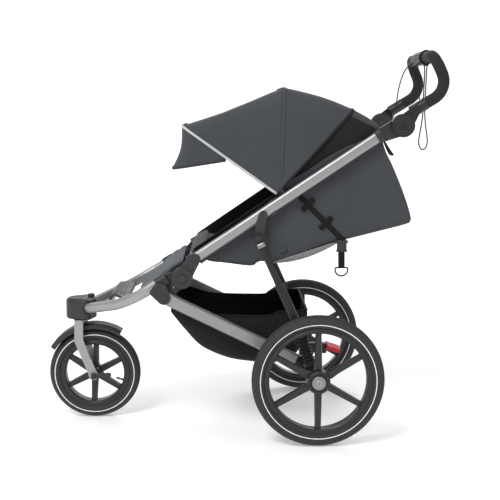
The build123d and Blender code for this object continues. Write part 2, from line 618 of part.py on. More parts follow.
def rim(centre, y, opening, bead, hub_radius, hub_inner, hub_outer, bore, spokes, first_angle):
    """Moulded wheel: rim channel, six tapered spokes and a hub. Hub ends are world y values."""
    with BuildPart() as wheel:
        with BuildSketch(ring_plane(centre, y)):
            with BuildLine():
                Polyline((-18, opening + 3), (-15, opening), (15, opening), (18, opening + 3),
                         (18, bead + 3.5), (15.4, bead + 4), (15.2, bead - 1), (9, bead - 4),
                         (-9, bead - 4), (-15.2, bead - 1), (-15.4, bead + 4), (-18, bead + 3.5), close=True)
            make_face()
        revolve(axis=Axis((centre[0], y, centre[1]), (0, 1, 0)))
        for spoke in range(spokes):
            angle = radians(first_angle + 360 * spoke / spokes)
            spoke_plane = Plane(origin=(centre[0], y, centre[1]), x_dir=(cos(angle), 0, sin(angle)),
                                z_dir=(0, -1, 0))
            with BuildSketch(spoke_plane) as arm:
                with BuildLine():
                    Polyline((hub_radius * 0.6, -12.5), (opening + 1.5, -9.6), (opening + 1.5, 9.6),
                             (hub_radius * 0.6, 12.5), close=True)
                make_face()
            extrude(arm.sketch, amount=10, both=True, taper=12)
        pin(RIGHT, min(hub_inner, hub_outer), max(hub_inner, hub_outer), centre, hub_radius)
        fillet(wheel.faces().filter_by(Axis.Y).sort_by(Axis.Y)[-1].outer_wire().edges(), 3)
        fillet(wheel.faces().filter_by(Axis.Y).sort_by(Axis.Y)[0].outer_wire().edges(), 3)
        pin(RIGHT, -400, 400, centre, bore, Mode.SUBTRACT)
    return wheel


FRONT_BEAD, REAR_BEAD = 108.0, 158.0
finish(tyre(FRONT_AXLE, 0, FRONT_RADIUS, FRONT_BEAD), "front_tyre")
finish(rim(FRONT_AXLE, 0, 95, FRONT_BEAD, 21, -30, 30, 5 + RUNNING, 6, 27), "front_rim")

# ---------------------------------------------------------------- rear frame

leg_run = Vector(LEG_END[0] - LEG_PIVOT[0], LEG_END[1] - LEG_PIVOT[1])
leg_across = Vector(-leg_run.Y, leg_run.X).normalized()
LEG_INNER, LEG_OUTER, LEG_HALF = 205.0, 225.0, 20.0


def leg_outline(from_pivot, half, to_end):
    """Rectangle along the leg, from a distance past its pivot to a distance past its end."""
    start = Vector(*along(LEG_PIVOT, LEG_END, from_pivot))
    stop = Vector(*along(LEG_END, LEG_PIVOT, -to_end))
    corners = [start + leg_across * half, stop + leg_across * half,
               stop - leg_across * half, start - leg_across * half]
    return [(c.X, c.Y) for c in corners]


for name, side in SIDES:
    with BuildPart() as rear_leg:
        slab(side, LEG_INNER, LEG_OUTER, leg_outline(0, LEG_HALF, 0))
        fillet([e for e in rear_leg.edges() if e.length > 300], 9)
        pin(side, LEG_INNER, LEG_OUTER, LEG_PIVOT, LEG_HALF)
        slab(side, LEG_INNER + 2, LEG_OUTER - 2, leg_outline(26, LEG_HALF - 2, 1), Mode.SUBTRACT)
        pin(side, 200, 230, LEG_PIVOT, 5 + RUNNING, Mode.SUBTRACT)
    finish(rear_leg, f"rear_leg_{name}")

with BuildPart() as rear_axle_beam:
    rod((BEAM[0], -230, BEAM[1]), (BEAM[0], 230, BEAM[1]), 12)
    for _, side in SIDES:
        slab(side, LEG_INNER, LEG_OUTER, leg_outline(leg_run.length + 0.2, LEG_HALF - 1, 26))
        plate(side, LEG_INNER, 230.5, [(*BEAM, 20), (*along(LEG_END, LEG_PIVOT, -18), 17)])
        pin(side, 230, 238, (214, 214), 5)
finish(rear_axle_beam, "rear_axle_beam")

BASKET = [(-220, 396), (-190, 403), (-160, 396), (-107, 378), (-50, 373), (91, 372), (116, 385), (208, 391),
          (204, 330), (184, 252), (150, 226), (27, 215), (-126, 265), (-212, 376)]
BASKET_HOLLOW = [(-214, 430), (-205, 378), (-122, 270), (28, 220), (148, 231), (178, 255),
                 (198, 331), (202, 430)]
BASKET_Y = 182.0
with BuildPart() as basket:
    wide(BASKET, BASKET_Y)
    wide(BASKET_HOLLOW, BASKET_Y - 4, Mode.SUBTRACT)
finish(basket, "basket")

with BuildPart() as brake_pedal:
    pin(RIGHT, -24, 24, BEAM, 18)
    pin(RIGHT, -25, 25, BEAM, 12 + RUNNING, Mode.SUBTRACT)
    slab(RIGHT, -9, 9, [(222, 232), (286, 236), (286, 224), (222, 208)])
    pin(RIGHT, -25, 25, BEAM, 12 + RUNNING, Mode.SUBTRACT)
    slab(RIGHT, -32, 32, [(284, 240), (328, 225), (325, 213), (281, 226)])
finish(brake_pedal, "brake_pedal")

shock_axis = Vector(SHOCK_TOP[0] - SHOCK_LOW[0], 0, SHOCK_TOP[1] - SHOCK_LOW[1])
SHOCK_Y, BOOT_RADIUS, BOOT_RINGS = 255.0, 19.0, 7


def shock_plane(side):
    """Plane through the shock's axis: local y runs up the axis and local x is the radius."""
    return Plane(origin=(SHOCK_LOW[0], side * SHOCK_Y, SHOCK_LOW[1]), x_dir=(0, 1, 0),
                 z_dir=Vector(0, 1, 0).cross(shock_axis))


for name, side in SIDES:
    shock_low = (SHOCK_LOW[0], side * SHOCK_Y, SHOCK_LOW[1])
    shock_direction = Axis(shock_low, shock_axis)
    length = shock_axis.length
    with BuildPart() as wheel_carrier:
        plate(side, 232, 262, [(*REAR_AXLE, 17), (SHOCK_LOW[0] + 2, SHOCK_LOW[1] - 14, 14)])
        under = Vector(*shock_low) - shock_axis.normalized() * 12
        rod(under, under + shock_axis.normalized() * 12, 21)
        pin(side, 262, 287.4, REAR_AXLE, 14)
        pin(side, 287, 325, REAR_AXLE, STUB_RADIUS)
        plate(side, 231, 240, [(209.3, 229, 5.4), (219.6, 196, 5.4)], Mode.SUBTRACT)
    finish(wheel_carrier, f"wheel_carrier_{name}")

    pitch = (length - 6) / BOOT_RINGS
    with BuildPart() as shock_boot:
        with BuildSketch(shock_plane(side)):
            with BuildLine():
                outline = [(0, 0.3), (BOOT_RADIUS - 2, 0.3)]
                for ring in range(BOOT_RINGS):
                    outline.append((BOOT_RADIUS - 4, 0.3 + ring * pitch + 0.15 * pitch))
                    outline.append((BOOT_RADIUS, 0.3 + ring * pitch + 0.6 * pitch))
                outline += [(BOOT_RADIUS - 4, length - 6), (BOOT_RADIUS - 4, length), (0, length)]
                Polyline(*outline, close=True)
            make_face()
        revolve(axis=shock_direction)
    finish(shock_boot, f"shock_boot_{name}")

    hub_out = side * 337.0
    finish(tyre(REAR_AXLE, side * REAR_WHEEL_Y, REAR_RADIUS, REAR_BEAD), f"rear_tyre_{name}")
    wheel = rim(REAR_AXLE, side * REAR_WHEEL_Y, 147, REAR_BEAD, 35, side * 288.0, hub_out,
                STUB_RADIUS + RUNNING, 6, 30)
    with BuildPart() as rear_rim:
        add(wheel.part)
        pin(side, 327, 340, REAR_AXLE, 21.3, Mode.SUBTRACT)
    finish(rear_rim, f"rear_rim_{name}")

    with BuildPart() as wheel_release:
        pin(side, 332, 345, REAR_AXLE, 21)
        fillet(wheel_release.faces().sort_by(Axis.Y)[0 if side == LEFT else -1].edges(), 3)
    finish(wheel_release, f"wheel_release_{name}")

# ---------------------------------------------------------------- struts

CUP_LENGTH = 22.0
axis_up = shock_axis.normalized()
with BuildPart() as struts:
    for _, side in SIDES:
        top = Vector(SHOCK_TOP[0], side * SHOCK_Y, SHOCK_TOP[1])
        cup_low = top - axis_up * 6
        cup_high = cup_low + axis_up * CUP_LENGTH
        eye = (STRUT_PIVOT[0], side * 231, STRUT_PIVOT[1])
        pin(side, 224, 238, STRUT_PIVOT, 14)
        oval_rod(eye, cup_high, 12, 21)
        sleeve_low = Vector(*eye) + (cup_high - Vector(*eye)) * 0.50
        sleeve_high = Vector(*eye) + (cup_high - Vector(*eye)) * 0.88
        oval_rod(sleeve_low, sleeve_high, 19, 29)
        rod(cup_low, cup_high, 23)
        rod(cup_low, cup_low + axis_up * 6.5, 20.5, Mode.SUBTRACT)
        pin(side, 220, 242, STRUT_PIVOT, 5 + RUNNING, Mode.SUBTRACT)
    rod((106, -236, 483), (106, 236, 483), 6)
finish(struts, "struts")
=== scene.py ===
"""Jogging stroller: fabric, cords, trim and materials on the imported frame, in a pale studio.

Metres, +Z up, the front wheel towards -X, the stroller's left side towards -Y. A side view point is
(x, z), and half is a distance from the middle plane. sgn is -1 on the left and 1 on the right.
"""
import json
import math

import bmesh
import bpy
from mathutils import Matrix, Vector, noise


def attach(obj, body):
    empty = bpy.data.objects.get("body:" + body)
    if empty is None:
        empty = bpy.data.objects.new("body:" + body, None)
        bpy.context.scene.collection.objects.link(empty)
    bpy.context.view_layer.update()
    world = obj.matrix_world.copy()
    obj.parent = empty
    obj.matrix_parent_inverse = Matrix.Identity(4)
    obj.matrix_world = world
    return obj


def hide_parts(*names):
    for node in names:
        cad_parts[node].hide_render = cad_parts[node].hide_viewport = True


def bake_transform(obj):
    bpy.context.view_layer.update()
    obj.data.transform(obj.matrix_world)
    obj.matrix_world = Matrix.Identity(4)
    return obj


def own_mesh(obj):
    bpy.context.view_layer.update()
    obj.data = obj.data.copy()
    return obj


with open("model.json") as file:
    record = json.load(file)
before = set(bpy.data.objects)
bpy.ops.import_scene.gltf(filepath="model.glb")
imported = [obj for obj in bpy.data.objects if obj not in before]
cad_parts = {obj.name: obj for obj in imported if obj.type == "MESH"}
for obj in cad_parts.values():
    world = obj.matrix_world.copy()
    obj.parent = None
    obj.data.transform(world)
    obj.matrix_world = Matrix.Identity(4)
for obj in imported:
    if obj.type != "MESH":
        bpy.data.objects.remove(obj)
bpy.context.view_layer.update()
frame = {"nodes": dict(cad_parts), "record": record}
nodes = frame["nodes"]
scene = bpy.context.scene
SIDES = (("left", -1), ("right", 1))
X_AXIS, Y_AXIS, Z_AXIS = Vector((1, 0, 0)), Vector((0, 1, 0)), Vector((0, 0, 1))
pivots = {joint["name"]: joint.get("pos_m") for joint in frame["record"]["behaviour"]["joints"]}


def pivot(joint):
    """Side view place of a joint's axis."""
    x, _, z = pivots[joint]
    return x, z


# ---- camera, studio

camera = bpy.data.objects.new("camera", bpy.data.cameras.new("camera"))
scene.collection.objects.link(camera)
camera.data.sensor_width = 36.0
camera.data.lens = 70.58
camera.location = (-0.050, -3.1573, 1.0072)
pitch, yaw = math.radians(8.206), math.radians(1.484)
forward = Vector((math.sin(yaw) * math.cos(pitch), math.cos(yaw) * math.cos(pitch), -math.sin(pitch)))
camera.rotation_mode = "QUATERNION"
camera.rotation_quaternion = forward.to_track_quat("-Z", "Y")
scene.camera = camera
scene.view_settings.view_transform = "Standard"


def lamp(name, place, target, size, power):
    light = bpy.data.objects.new(name, bpy.data.lights.new(name, "AREA"))
    scene.collection.objects.link(light)
    light.data.shape = "DISK"
    light.data.size = size
    light.data.energy = power
    light.location = place
    light.rotation_mode = "QUATERNION"
    light.rotation_quaternion = (Vector(target) - Vector(place)).to_track_quat("-Z", "Y")


lamp("key", (-1.6, -2.4, 3.6), (0, 0, 0.6), 2.0, 120)
lamp("fill", (3.0, -2.8, 1.8), (0.2, 0, 0.5), 2.4, 12)
lamp("rim", (0.8, 3.0, 3.2), (0, 0, 0.7), 2.2, 55)
world = bpy.data.worlds.new("studio")
scene.world = world
world.use_nodes = True
world.node_tree.nodes["Background"].inputs["Color"].default_value = (1.0, 1.0, 1.0, 1)
world.node_tree.nodes["Background"].inputs["Strength"].default_value = 0.50

# ---- materials


WAVE_SPACING = 0.314159  # metres between a wave texture's bands at scale 1


class Finish:
    """A node material built on one Principled shader."""

    def __init__(self, name, colour, roughness, **uniform):
        self.material = bpy.data.materials.new(name)
        self.material.use_nodes = True
        self.tree = self.material.node_tree
        self.shader = self.tree.nodes["Principled BSDF"]
        self.shader.inputs["Base Color"].default_value = (*colour, 1)
        self.shader.inputs["Roughness"].default_value = roughness
        for key, value in uniform.items():
            label = key.replace("_", " ").title().replace("Ior", "IOR")
            self.shader.inputs[label].default_value = value
        self.colour = colour
        self.height = None

    def node(self, kind, inputs=None, **settings):
        made = self.tree.nodes.new(kind)
        for key, value in settings.items():
            setattr(made, key, value)
        for key, value in (inputs or {}).items():
            if isinstance(value, bpy.types.NodeSocket):
                self.tree.links.new(value, made.inputs[key])
            else:
                made.inputs[key].default_value = value
        return made

    def place(self, kind="Object"):
        return self.node("ShaderNodeTexCoord").outputs[kind]

    def stretched(self, coordinates, scale):
        return self.node("ShaderNodeMapping", {"Vector": coordinates, "Scale": scale}).outputs["Vector"]

    def grain(self, coordinates, scale, detail=2.0, rough=0.5):
        inputs = {"Vector": coordinates, "Scale": scale, "Detail": detail, "Roughness": rough}
        return self.node("ShaderNodeTexNoise", inputs).outputs["Fac"]

    def bands(self, coordinates, axis, pitch):
        inputs = {"Vector": coordinates, "Scale": WAVE_SPACING / pitch}
        return self.node("ShaderNodeTexWave", inputs, bands_direction=axis).outputs["Fac"]

    def maths(self, operation, a, b=0.0):
        return self.node("ShaderNodeMath", {0: a, 1: b}, operation=operation).outputs[0]

    def ranged(self, value, low, high, from_low=0.0, from_high=1.0):
        inputs = {"Value": value, "From Min": from_low, "From Max": from_high, "To Min": low,
                  "To Max": high}
        return self.node("ShaderNodeMapRange", inputs).outputs["Result"]

    def tint(self, factor, dark, light):
        """Colour that runs from dark to light shares of the base colour."""
        ramp = self.node("ShaderNodeValToRGB", {"Fac": factor})
        ramp.color_ramp.elements[0].color = (*(min(1.0, c * dark) for c in self.colour), 1)
        ramp.color_ramp.elements[1].color = (*(min(1.0, c * light) for c in self.colour), 1)
        return ramp.outputs["Color"]

    def set(self, name, value):
        self.tree.links.new(value, self.shader.inputs[name])

    def shade(self, factor, dark, light):
        self.set("Base Color", self.tint(factor, dark, light))

    def dull(self, factor, low, high):
        """Roughness from low to high over the middle of a noise's range."""
        self.set("Roughness", self.ranged(factor, low, high, 0.3, 0.7))

    def bump(self, height, distance, strength=1.0):
        inputs = {"Height": height, "Distance": distance, "Strength": strength}
        if self.height:
            inputs["Normal"] = self.height
        self.height = self.node("ShaderNodeBump", inputs).outputs["Normal"]
        self.set("Normal", self.height)


def plastic(name, colour, roughness, grain_size=0.0007):
    """Moulded plastic: fine spark-eroded grain and faint handling marks."""
    f = Finish(name, colour, roughness, specular_ior_level=0.42)
    where = f.place()
    texture = f.grain(where, 1 / grain_size, 3.0)
    marks = f.grain(where, 22.0, 4.0, 0.6)
    f.shade(marks, 0.86, 1.14)
    f.dull(marks, roughness - 0.09, roughness + 0.09)
    f.bump(texture, 0.00012, 0.7)
    return f.material


def metal(name, colour, roughness, metallic, along=(1.0, 60.0, 60.0)):
    """Anodised tube: fine drawn lines along it and soft cloudy variation."""
    f = Finish(name, colour, roughness, metallic=metallic, specular_ior_level=0.5)
    where = f.place()
    lines = f.grain(f.stretched(where, along), 18.0, 4.0, 0.7)
    cloud = f.grain(where, 9.0, 3.0)
    f.shade(cloud, 0.93, 1.06)
    f.dull(lines, roughness - 0.08, roughness + 0.10)
    f.bump(lines, 0.00004, 0.5)
    return f.material


def rubber(name, colour, roughness, grain_size=0.0009):
    f = Finish(name, colour, roughness, specular_ior_level=0.35)
    where = f.place()
    dust = f.grain(where, 14.0, 5.0, 0.65)
    f.shade(dust, 0.8, 1.3)
    f.dull(dust, roughness - 0.1, roughness + 0.1)
    f.bump(f.grain(where, 1 / grain_size, 2.0), 0.00015, 0.8)
    return f.material


def foam(name, colour):
    """Closed-cell foam: pitted skin."""
    f = Finish(name, colour, 0.85, specular_ior_level=0.25, sheen_weight=0.05)
    where = f.place()
    cells = f.node("ShaderNodeTexVoronoi", {"Vector": where, "Scale": 900.0}).outputs["Distance"]
    f.shade(f.grain(where, 60.0, 4.0, 0.7), 0.8, 1.25)
    f.bump(cells, 0.00035, 0.9)
    return f.material


def cloth(name, colour, coordinates="UV", pitch=0.0011, roughness=0.86, heather=0.16, sheen=0.06):
    """Plain weave: warp and weft threads, mottled yarn and slow shade changes."""
    f = Finish(name, colour, roughness, specular_ior_level=0.25, sheen_weight=sheen,
               sheen_roughness=0.5)
    where = f.place(coordinates)
    solid = f.place("Object")
    warp = f.bands(where, "X", pitch)
    weft = f.bands(where, "Y" if coordinates == "UV" else "Z", pitch)
    if coordinates != "UV":
        warp = f.maths("MAXIMUM", warp, f.bands(where, "Y", pitch))
    weave = f.maths("MAXIMUM", warp, weft)
    yarn = f.grain(f.stretched(where, (1.0, 3.0, 1.0)), 700.0, 3.0, 0.7)
    slow = f.grain(solid, 5.0, 3.0)
    shade = f.maths("ADD", f.maths("MULTIPLY", yarn, 0.6), f.maths("MULTIPLY", slow, 0.4))
    f.shade(f.ranged(shade, 0.0, 1.0, 0.3, 0.7), 1 - heather, 1 + heather)
    f.dull(yarn, roughness - 0.06, roughness + 0.06)
    f.bump(f.grain(solid, 45.0, 3.0), 0.0012, 0.35)
    f.bump(weave, 0.00025, 0.8)
    return f.material


def net(name, colour, hole, pitch, hole_share=0.5):
    """Spacer mesh: rows of round holes in a knitted ground."""
    f = Finish(name, colour, 0.8, specular_ior_level=0.25, sheen_weight=0.1)
    where = f.place("UV")
    rows = f.bands(where, "X", pitch)
    columns = f.bands(where, "Y", pitch * 0.8)
    both = f.maths("MULTIPLY", rows, columns)
    f.set("Base Color", f.node("ShaderNodeMixRGB", {
        "Fac": f.ranged(both, 0.0, 1.0, hole_share - 0.14, hole_share + 0.14),
        "Color1": f.tint(f.grain(where, 400.0), 0.85, 1.15), "Color2": (*hole, 1)}).outputs["Color"])
    f.bump(both, 0.0006, -0.8)
    return f.material


def webbing(name, colour, pitch=0.0022, stitch=0.0):
    """Ribbed band: UV x runs along it and y across it, in metres. stitch is a sewn line's y."""
    f = Finish(name, colour, 0.78, specular_ior_level=0.2)
    where = f.place("UV")
    ribs = f.bands(where, "X", pitch)
    yarn = f.grain(where, 900.0, 3.0)
    f.shade(yarn, 0.75, 1.3)
    f.dull(yarn, 0.64, 0.8)
    f.bump(ribs, 0.0004, 0.8)
    if stitch:
        split = f.node("ShaderNodeSeparateXYZ", {"Vector": where})
        offset = f.maths("ABSOLUTE", f.maths("SUBTRACT", split.outputs["Y"], stitch))
        phase = f.maths("FRACT", f.maths("DIVIDE", split.outputs["X"], 0.0042))
        near = f.maths("LESS_THAN", offset, 0.0006)
        thread = f.maths("MULTIPLY", near, f.maths("LESS_THAN", phase, 0.66))
        f.bump(thread, 0.0006)
    return f.material


CANOPY_BLUE = (0.052, 0.056, 0.062)
LINER_BLUE = (0.086, 0.098, 0.108)
BLACK = (0.006, 0.006, 0.0065)
look = {
    "frame_silver": metal("satin_aluminium", (0.36, 0.355, 0.36), 0.44, 0.75),
    "leg_silver": metal("satin_aluminium_leg", (0.33, 0.325, 0.33), 0.46, 0.75),
    "strut_black": plastic("black_enamel", (0.014, 0.014, 0.015), 0.36, 0.0012),
    "axle_steel": metal("turned_steel", (0.42, 0.42, 0.43), 0.3, 1.0, (60.0, 1.0, 60.0)),
    "plastic_dark": plastic("moulded_plastic", (0.026, 0.026, 0.028), 0.50),
    "plastic_trim": plastic("moulded_trim", (0.036, 0.036, 0.039), 0.48),
    "rim_dark": plastic("wheel_moulding", (0.020, 0.020, 0.022), 0.42, 0.0010),
    "tyre": rubber("tyre_rubber", (0.030, 0.030, 0.031), 0.72),
    "boot_rubber": rubber("boot_rubber", (0.012, 0.012, 0.013), 0.55),
    "cable_black": rubber("cable_sheath", (0.004, 0.004, 0.004), 0.7),
    "grip_foam": foam("grip_foam", (0.020, 0.020, 0.021)),
    "fabric_canopy": cloth("canopy_fabric", CANOPY_BLUE),
    "fabric_seat": cloth("seat_fabric", LINER_BLUE, "Object", 0.0016),
    "fabric_dark": cloth("basket_nylon", BLACK, roughness=0.62, heather=0.25, sheen=0.0),
    "webbing": webbing("black_webbing", BLACK),
    "pedal_red": plastic("red_plastic", (0.50, 0.020, 0.034), 0.38),
    "cap_silver": metal("cap_paint", (0.26, 0.26, 0.265), 0.36, 0.6, (30.0, 1.0, 30.0)),
}
look["reflective"] = webbing("reflective_piping", (0.50, 0.50, 0.51), 0.0016)
look["tyre_ring"] = rubber("reflective_ring", (0.80, 0.80, 0.79), 0.5)
look["canopy_object"] = cloth("canopy_fabric_trim", CANOPY_BLUE, "Object")
look["lining"] = cloth("inner_lining", (0.012, 0.0125, 0.0135), "UV", 0.0014)
look["black_net"] = net("black_mesh", (0.010, 0.010, 0.011), (0.002, 0.002, 0.002), 0.0030)
look["roll_grey"] = cloth("roll_fabric", (0.062, 0.058, 0.059), "UV", 0.0014)
look["light_net"] = net("light_mesh", (0.34, 0.34, 0.33), (0.020, 0.021, 0.022), 0.0062, 0.38)
look["binding"] = webbing("black_binding", (0.014, 0.014, 0.015), 0.0018, 0.0035)
look["edge_blue"] = webbing("grey_binding", (0.036, 0.039, 0.043), 0.0018, 0.0035)
# The slot of each finish that isn't a slot itself.
trims = {"reflective": "fabric_canopy", "tyre_ring": "tyre", "canopy_object": "fabric_canopy",
         "lining": "fabric_dark", "black_net": "fabric_dark", "roll_grey": "fabric_seat",
         "light_net": "fabric_dark", "binding": "fabric_dark", "edge_blue": "fabric_canopy"}
slot_of = {material.name: trims.get(finish, finish) for finish, material in look.items()}

for entry in frame["record"]["subparts"]:
    node = nodes[entry["node"]]
    node.data.materials.clear()
    node.data.materials.append(look[entry["material_slot"]])

# ---- number helpers


def steps(first, last, count):
    """Even values from first to last."""
    return [first + (last - first) * k / (count - 1) for k in range(count)]


def circle(count):
    """Angles of even steps round a circle."""
    return [2 * math.pi * k / count for k in range(count)]


def squared(value, power):
    """Signed power. On a sine or cosine, a power under 1 turns a circle into a rounded square."""
    return math.copysign(abs(value) ** power, value)


def lengths_along(points):
    """Distance from the first point to each, along the line."""
    lengths = [0.0]
    for a, b in zip(points, points[1:]):
        lengths.append(lengths[-1] + (Vector(b) - Vector(a)).length)
    return lengths


def path_through(points, count, closed=False):
    """Evenly spaced points along a smooth Catmull-Rom curve."""
    points = [Vector(p) for p in points]
    last = len(points)
    fine = []
    for i in range(last if closed else last - 1):
        if closed:
            p0, p1, p2, p3 = (points[(i + k) % last] for k in (-1, 0, 1, 2))
        else:
            p0, p1, p2, p3 = (points[min(max(i + k, 0), last - 1)] for k in (-1, 0, 1, 2))
        for step in range(12):
            t = step / 12
            fine.append(0.5 * (2 * p1 + (p2 - p0) * t + (2 * p0 - 5 * p1 + 4 * p2 - p3) * t * t
                               + (3 * p1 - p0 - 3 * p2 + p3) * t ** 3))
    fine.append(points[0] if closed else points[-1])
    lengths = lengths_along(fine)
    result, k = [], 0
    gaps = count if closed else count - 1
    for n in range(count):
        goal = lengths[-1] * n / gaps
        while k < len(lengths) - 2 and lengths[k + 1] < goal:
            k += 1
        span = lengths[k + 1] - lengths[k]
        result.append(fine[k].lerp(fine[k + 1], (goal - lengths[k]) / span if span else 0))
    return result


def side_path(points, count, half=0.0, closed=False):
    """Evenly spaced points on a smooth curve through side view points, at half from the middle."""
    return path_through([(x, half, z) for x, z in points], count, closed)


def side_rows(low, high, count, sgn, half):
    """Rows from one side view line up to another, at half(t) from the middle plane."""
    return [[Vector((a.x, sgn * half(t), a.z)) for a in (p.lerp(q, t) for p, q in zip(low, high))]
            for t in steps(0.0, 1.0, count)]


def oval(centre, side, other, wide, deep=None, count=20, powers=(1.0, 1.0)):
    """Points round centre: a circle, an ellipse, or with powers under 1 a rounded oblong."""
    deep = wide if deep is None else deep
    return [Vector(centre) + side * wide * squared(math.cos(a), powers[0])
            + other * deep * squared(math.sin(a), powers[1]) for a in circle(count)]


def arch(base, tip, half, corner, base_half=None, legs=18, arcs=8, top=22):
    """Line from a base point on one side, up to tip, round a corner, across, and down again."""
    low, high = Vector((base[0], 0, base[1])), Vector((tip[0], 0, tip[1]))
    run = (high - low).normalized()
    straight = max((high - low).length - corner, 0.001)
    bend = min(corner, (high - low).length)
    base_half = half if base_half is None else base_half
    side = []
    for i in range(legs):
        t = i / legs
        ease = t * t * (3 - 2 * t)
        side.append(low + run * straight * t + Vector((0, -(base_half + (half - base_half) * ease), 0)))
    for i in range(arcs + 1):
        a = math.pi / 2 * i / arcs
        out = half - corner + corner * math.cos(a)
        side.append(low + run * (straight + bend * math.sin(a)) + Vector((0, -out, 0)))
    across = [high + Vector((0, (half - corner) * (2 * i / top - 1), 0)) for i in range(1, top)]
    return side + across + [Vector((p.x, -p.y, p.z)) for p in reversed(side)]


def between_arches(first, second, count, bulge, centre, ripple):
    """Rows from one arch to another, pushed out from centre by bulge(v, u) metres and a ripple."""
    rows = [[a.lerp(b, v) for a, b in zip(first, second)] for v in steps(0.0, 1.0, count)]
    wide = len(first)
    moved = []
    for j, v in enumerate(steps(0.0, 1.0, count)):
        row = []
        for i, p in enumerate(rows[j]):
            run = rows[j][min(i + 1, wide - 1)] - rows[j][max(i - 1, 0)]
            down = rows[min(j + 1, count - 1)][i] - rows[max(j - 1, 0)][i]
            normal = run.cross(down)
            if normal.length < 1e-9:
                row.append(p.copy())
                continue
            normal.normalize()
            if normal.dot(p - centre) < 0:
                normal = -normal
            push = bulge(v, i / (wide - 1)) + ripple * math.sin(math.pi * v) * noise.noise(p * 14.0)
            row.append(p + normal * push)
        moved.append(row)
    return moved


# ---- mesh helpers


def linked(name, data):
    made = bpy.data.objects.new(name, data)
    scene.collection.objects.link(made)
    return made


def from_bmesh(name, bm, finish):
    """Smooth-shaded object made from bm, which is freed."""
    mesh = bpy.data.meshes.new(name)
    bm.to_mesh(mesh)
    bm.free()
    mesh.materials.append(finish)
    mesh.shade_smooth()
    return linked(name, mesh)


def baked(piece):
    """Applies every modifier to the piece's mesh."""
    bpy.context.view_layer.update()
    graph = bpy.context.evaluated_depsgraph_get()
    mesh = bpy.data.meshes.new_from_object(piece.evaluated_get(graph))
    piece.modifiers.clear()
    piece.data = mesh
    mesh.shade_smooth()
    return piece


def loft(name, rows, finish, thickness=0.0, around=False, closed=False, subdivide=0):
    """Grid through rows of points, with UVs in metres: x along a row, y from row to row."""
    wide, deep = len(rows[0]), len(rows)
    bm = bmesh.new()
    grid = [[bm.verts.new(p) for p in row] for row in rows]
    layer = bm.loops.layers.uv.new("UVMap")
    middle = rows[deep // 2]
    along, down = lengths_along(middle + middle[:1]), [0.0]
    for a, b in zip(rows, rows[1:] + rows[:1]):
        down.append(down[-1] + max((Vector(q) - Vector(p)).length for p, q in zip(a, b)))
    for j in range(deep if closed else deep - 1):
        for i in range(wide if around else wide - 1):
            corners = ((j, i), (j, i + 1), (j + 1, i + 1), (j + 1, i))
            face = bm.faces.new([grid[r % deep][c % wide] for r, c in corners])
            for loop, (r, c) in zip(face.loops, corners):
                loop[layer].uv = (along[c], down[r])
    piece = from_bmesh(name, bm, look[finish])
    if thickness:
        solid = piece.modifiers.new("thickness", "SOLIDIFY")
        solid.thickness = thickness
        solid.offset = -1.0
    if subdivide:
        piece.modifiers.new("subdivide", "SUBSURF").levels = subdivide
    return baked(piece)


def tube(name, points, radius, finish, sections=10, closed=False):
    """Round tube along points, with filled ends."""
    rows = []
    last = len(points) - 1
    up = None
    for i, p in enumerate(points):
        before = points[i - 1] if i or closed else points[0]
        after = points[(i + 1) % len(points)] if i < last or closed else points[last]
        run = (Vector(after) - Vector(before)).normalized()
        if up is None:
            up = run.orthogonal().normalized()
        up = (up - run * up.dot(run)).normalized()
        rows.append(oval(p, up, run.cross(up), radius, count=sections))
    piece = loft(name, rows, finish, around=True, closed=closed)
    if not closed:
        bm = bmesh.new()
        bm.from_mesh(piece.data)
        bmesh.ops.holes_fill(bm, edges=[e for e in bm.edges if e.is_boundary], sides=0)
        bm.to_mesh(piece.data)
        bm.free()
    return piece


def ribbon(name, points, sideways, width, thickness, finish, crown=0.0):
    """Flat band along points. sideways is one direction across it, or one for each point."""
    face_shares, back_shares = (-0.5, -0.3, 0.0, 0.3, 0.5), (0.5, 0.0, -0.5)
    across = [share + 0.5 for share in face_shares + back_shares]
    sections = len(across)
    bm = bmesh.new()
    grid = []
    last = len(points) - 1
    for i, p in enumerate(points):
        run = (Vector(points[min(i + 1, last)]) - Vector(points[max(i - 1, 0)])).normalized()
        side = Vector(sideways[i] if isinstance(sideways, list) else sideways)
        side = (side - run * side.dot(run)).normalized()
        normal = run.cross(side)
        row = [Vector(p) + side * width * s + normal * (thickness / 2 + crown * (1 - 4 * s * s))
               for s in face_shares]
        row += [Vector(p) + side * width * s - normal * thickness / 2 for s in back_shares]
        grid.append([bm.verts.new(q) for q in row])
    layer = bm.loops.layers.uv.new("UVMap")
    along = lengths_along(points)
    for j in range(last):
        for i in range(sections):
            after = (i + 1) % sections
            corners = ((j, i), (j, after), (j + 1, after), (j + 1, i))
            face = bm.faces.new([grid[r][c] for r, c in corners])
            for loop, (r, c) in zip(face.loops, corners):
                loop[layer].uv = (along[r], across[c] * width)
    bm.faces.new(grid[0])
    bm.faces.new(list(reversed(grid[-1])))
    bmesh.ops.recalc_face_normals(bm, faces=bm.faces)
    return from_bmesh(name, bm, look[finish])


def lathe(name, profile, centre, finish, count, depth=None):
    """Turns (radius, y) points about the axle through a side view centre, less depth(n, k)."""
    rows = []
    for n, angle in enumerate(circle(count)):
        row = []
        for k, (radius, y) in enumerate(profile):
            r = radius - (depth(n, k) if depth else 0.0)
            row.append(Vector((centre[0] + r * math.cos(angle), y, centre[1] + r * math.sin(angle))))
        rows.append(row)
    return loft(name, rows, finish, closed=True)


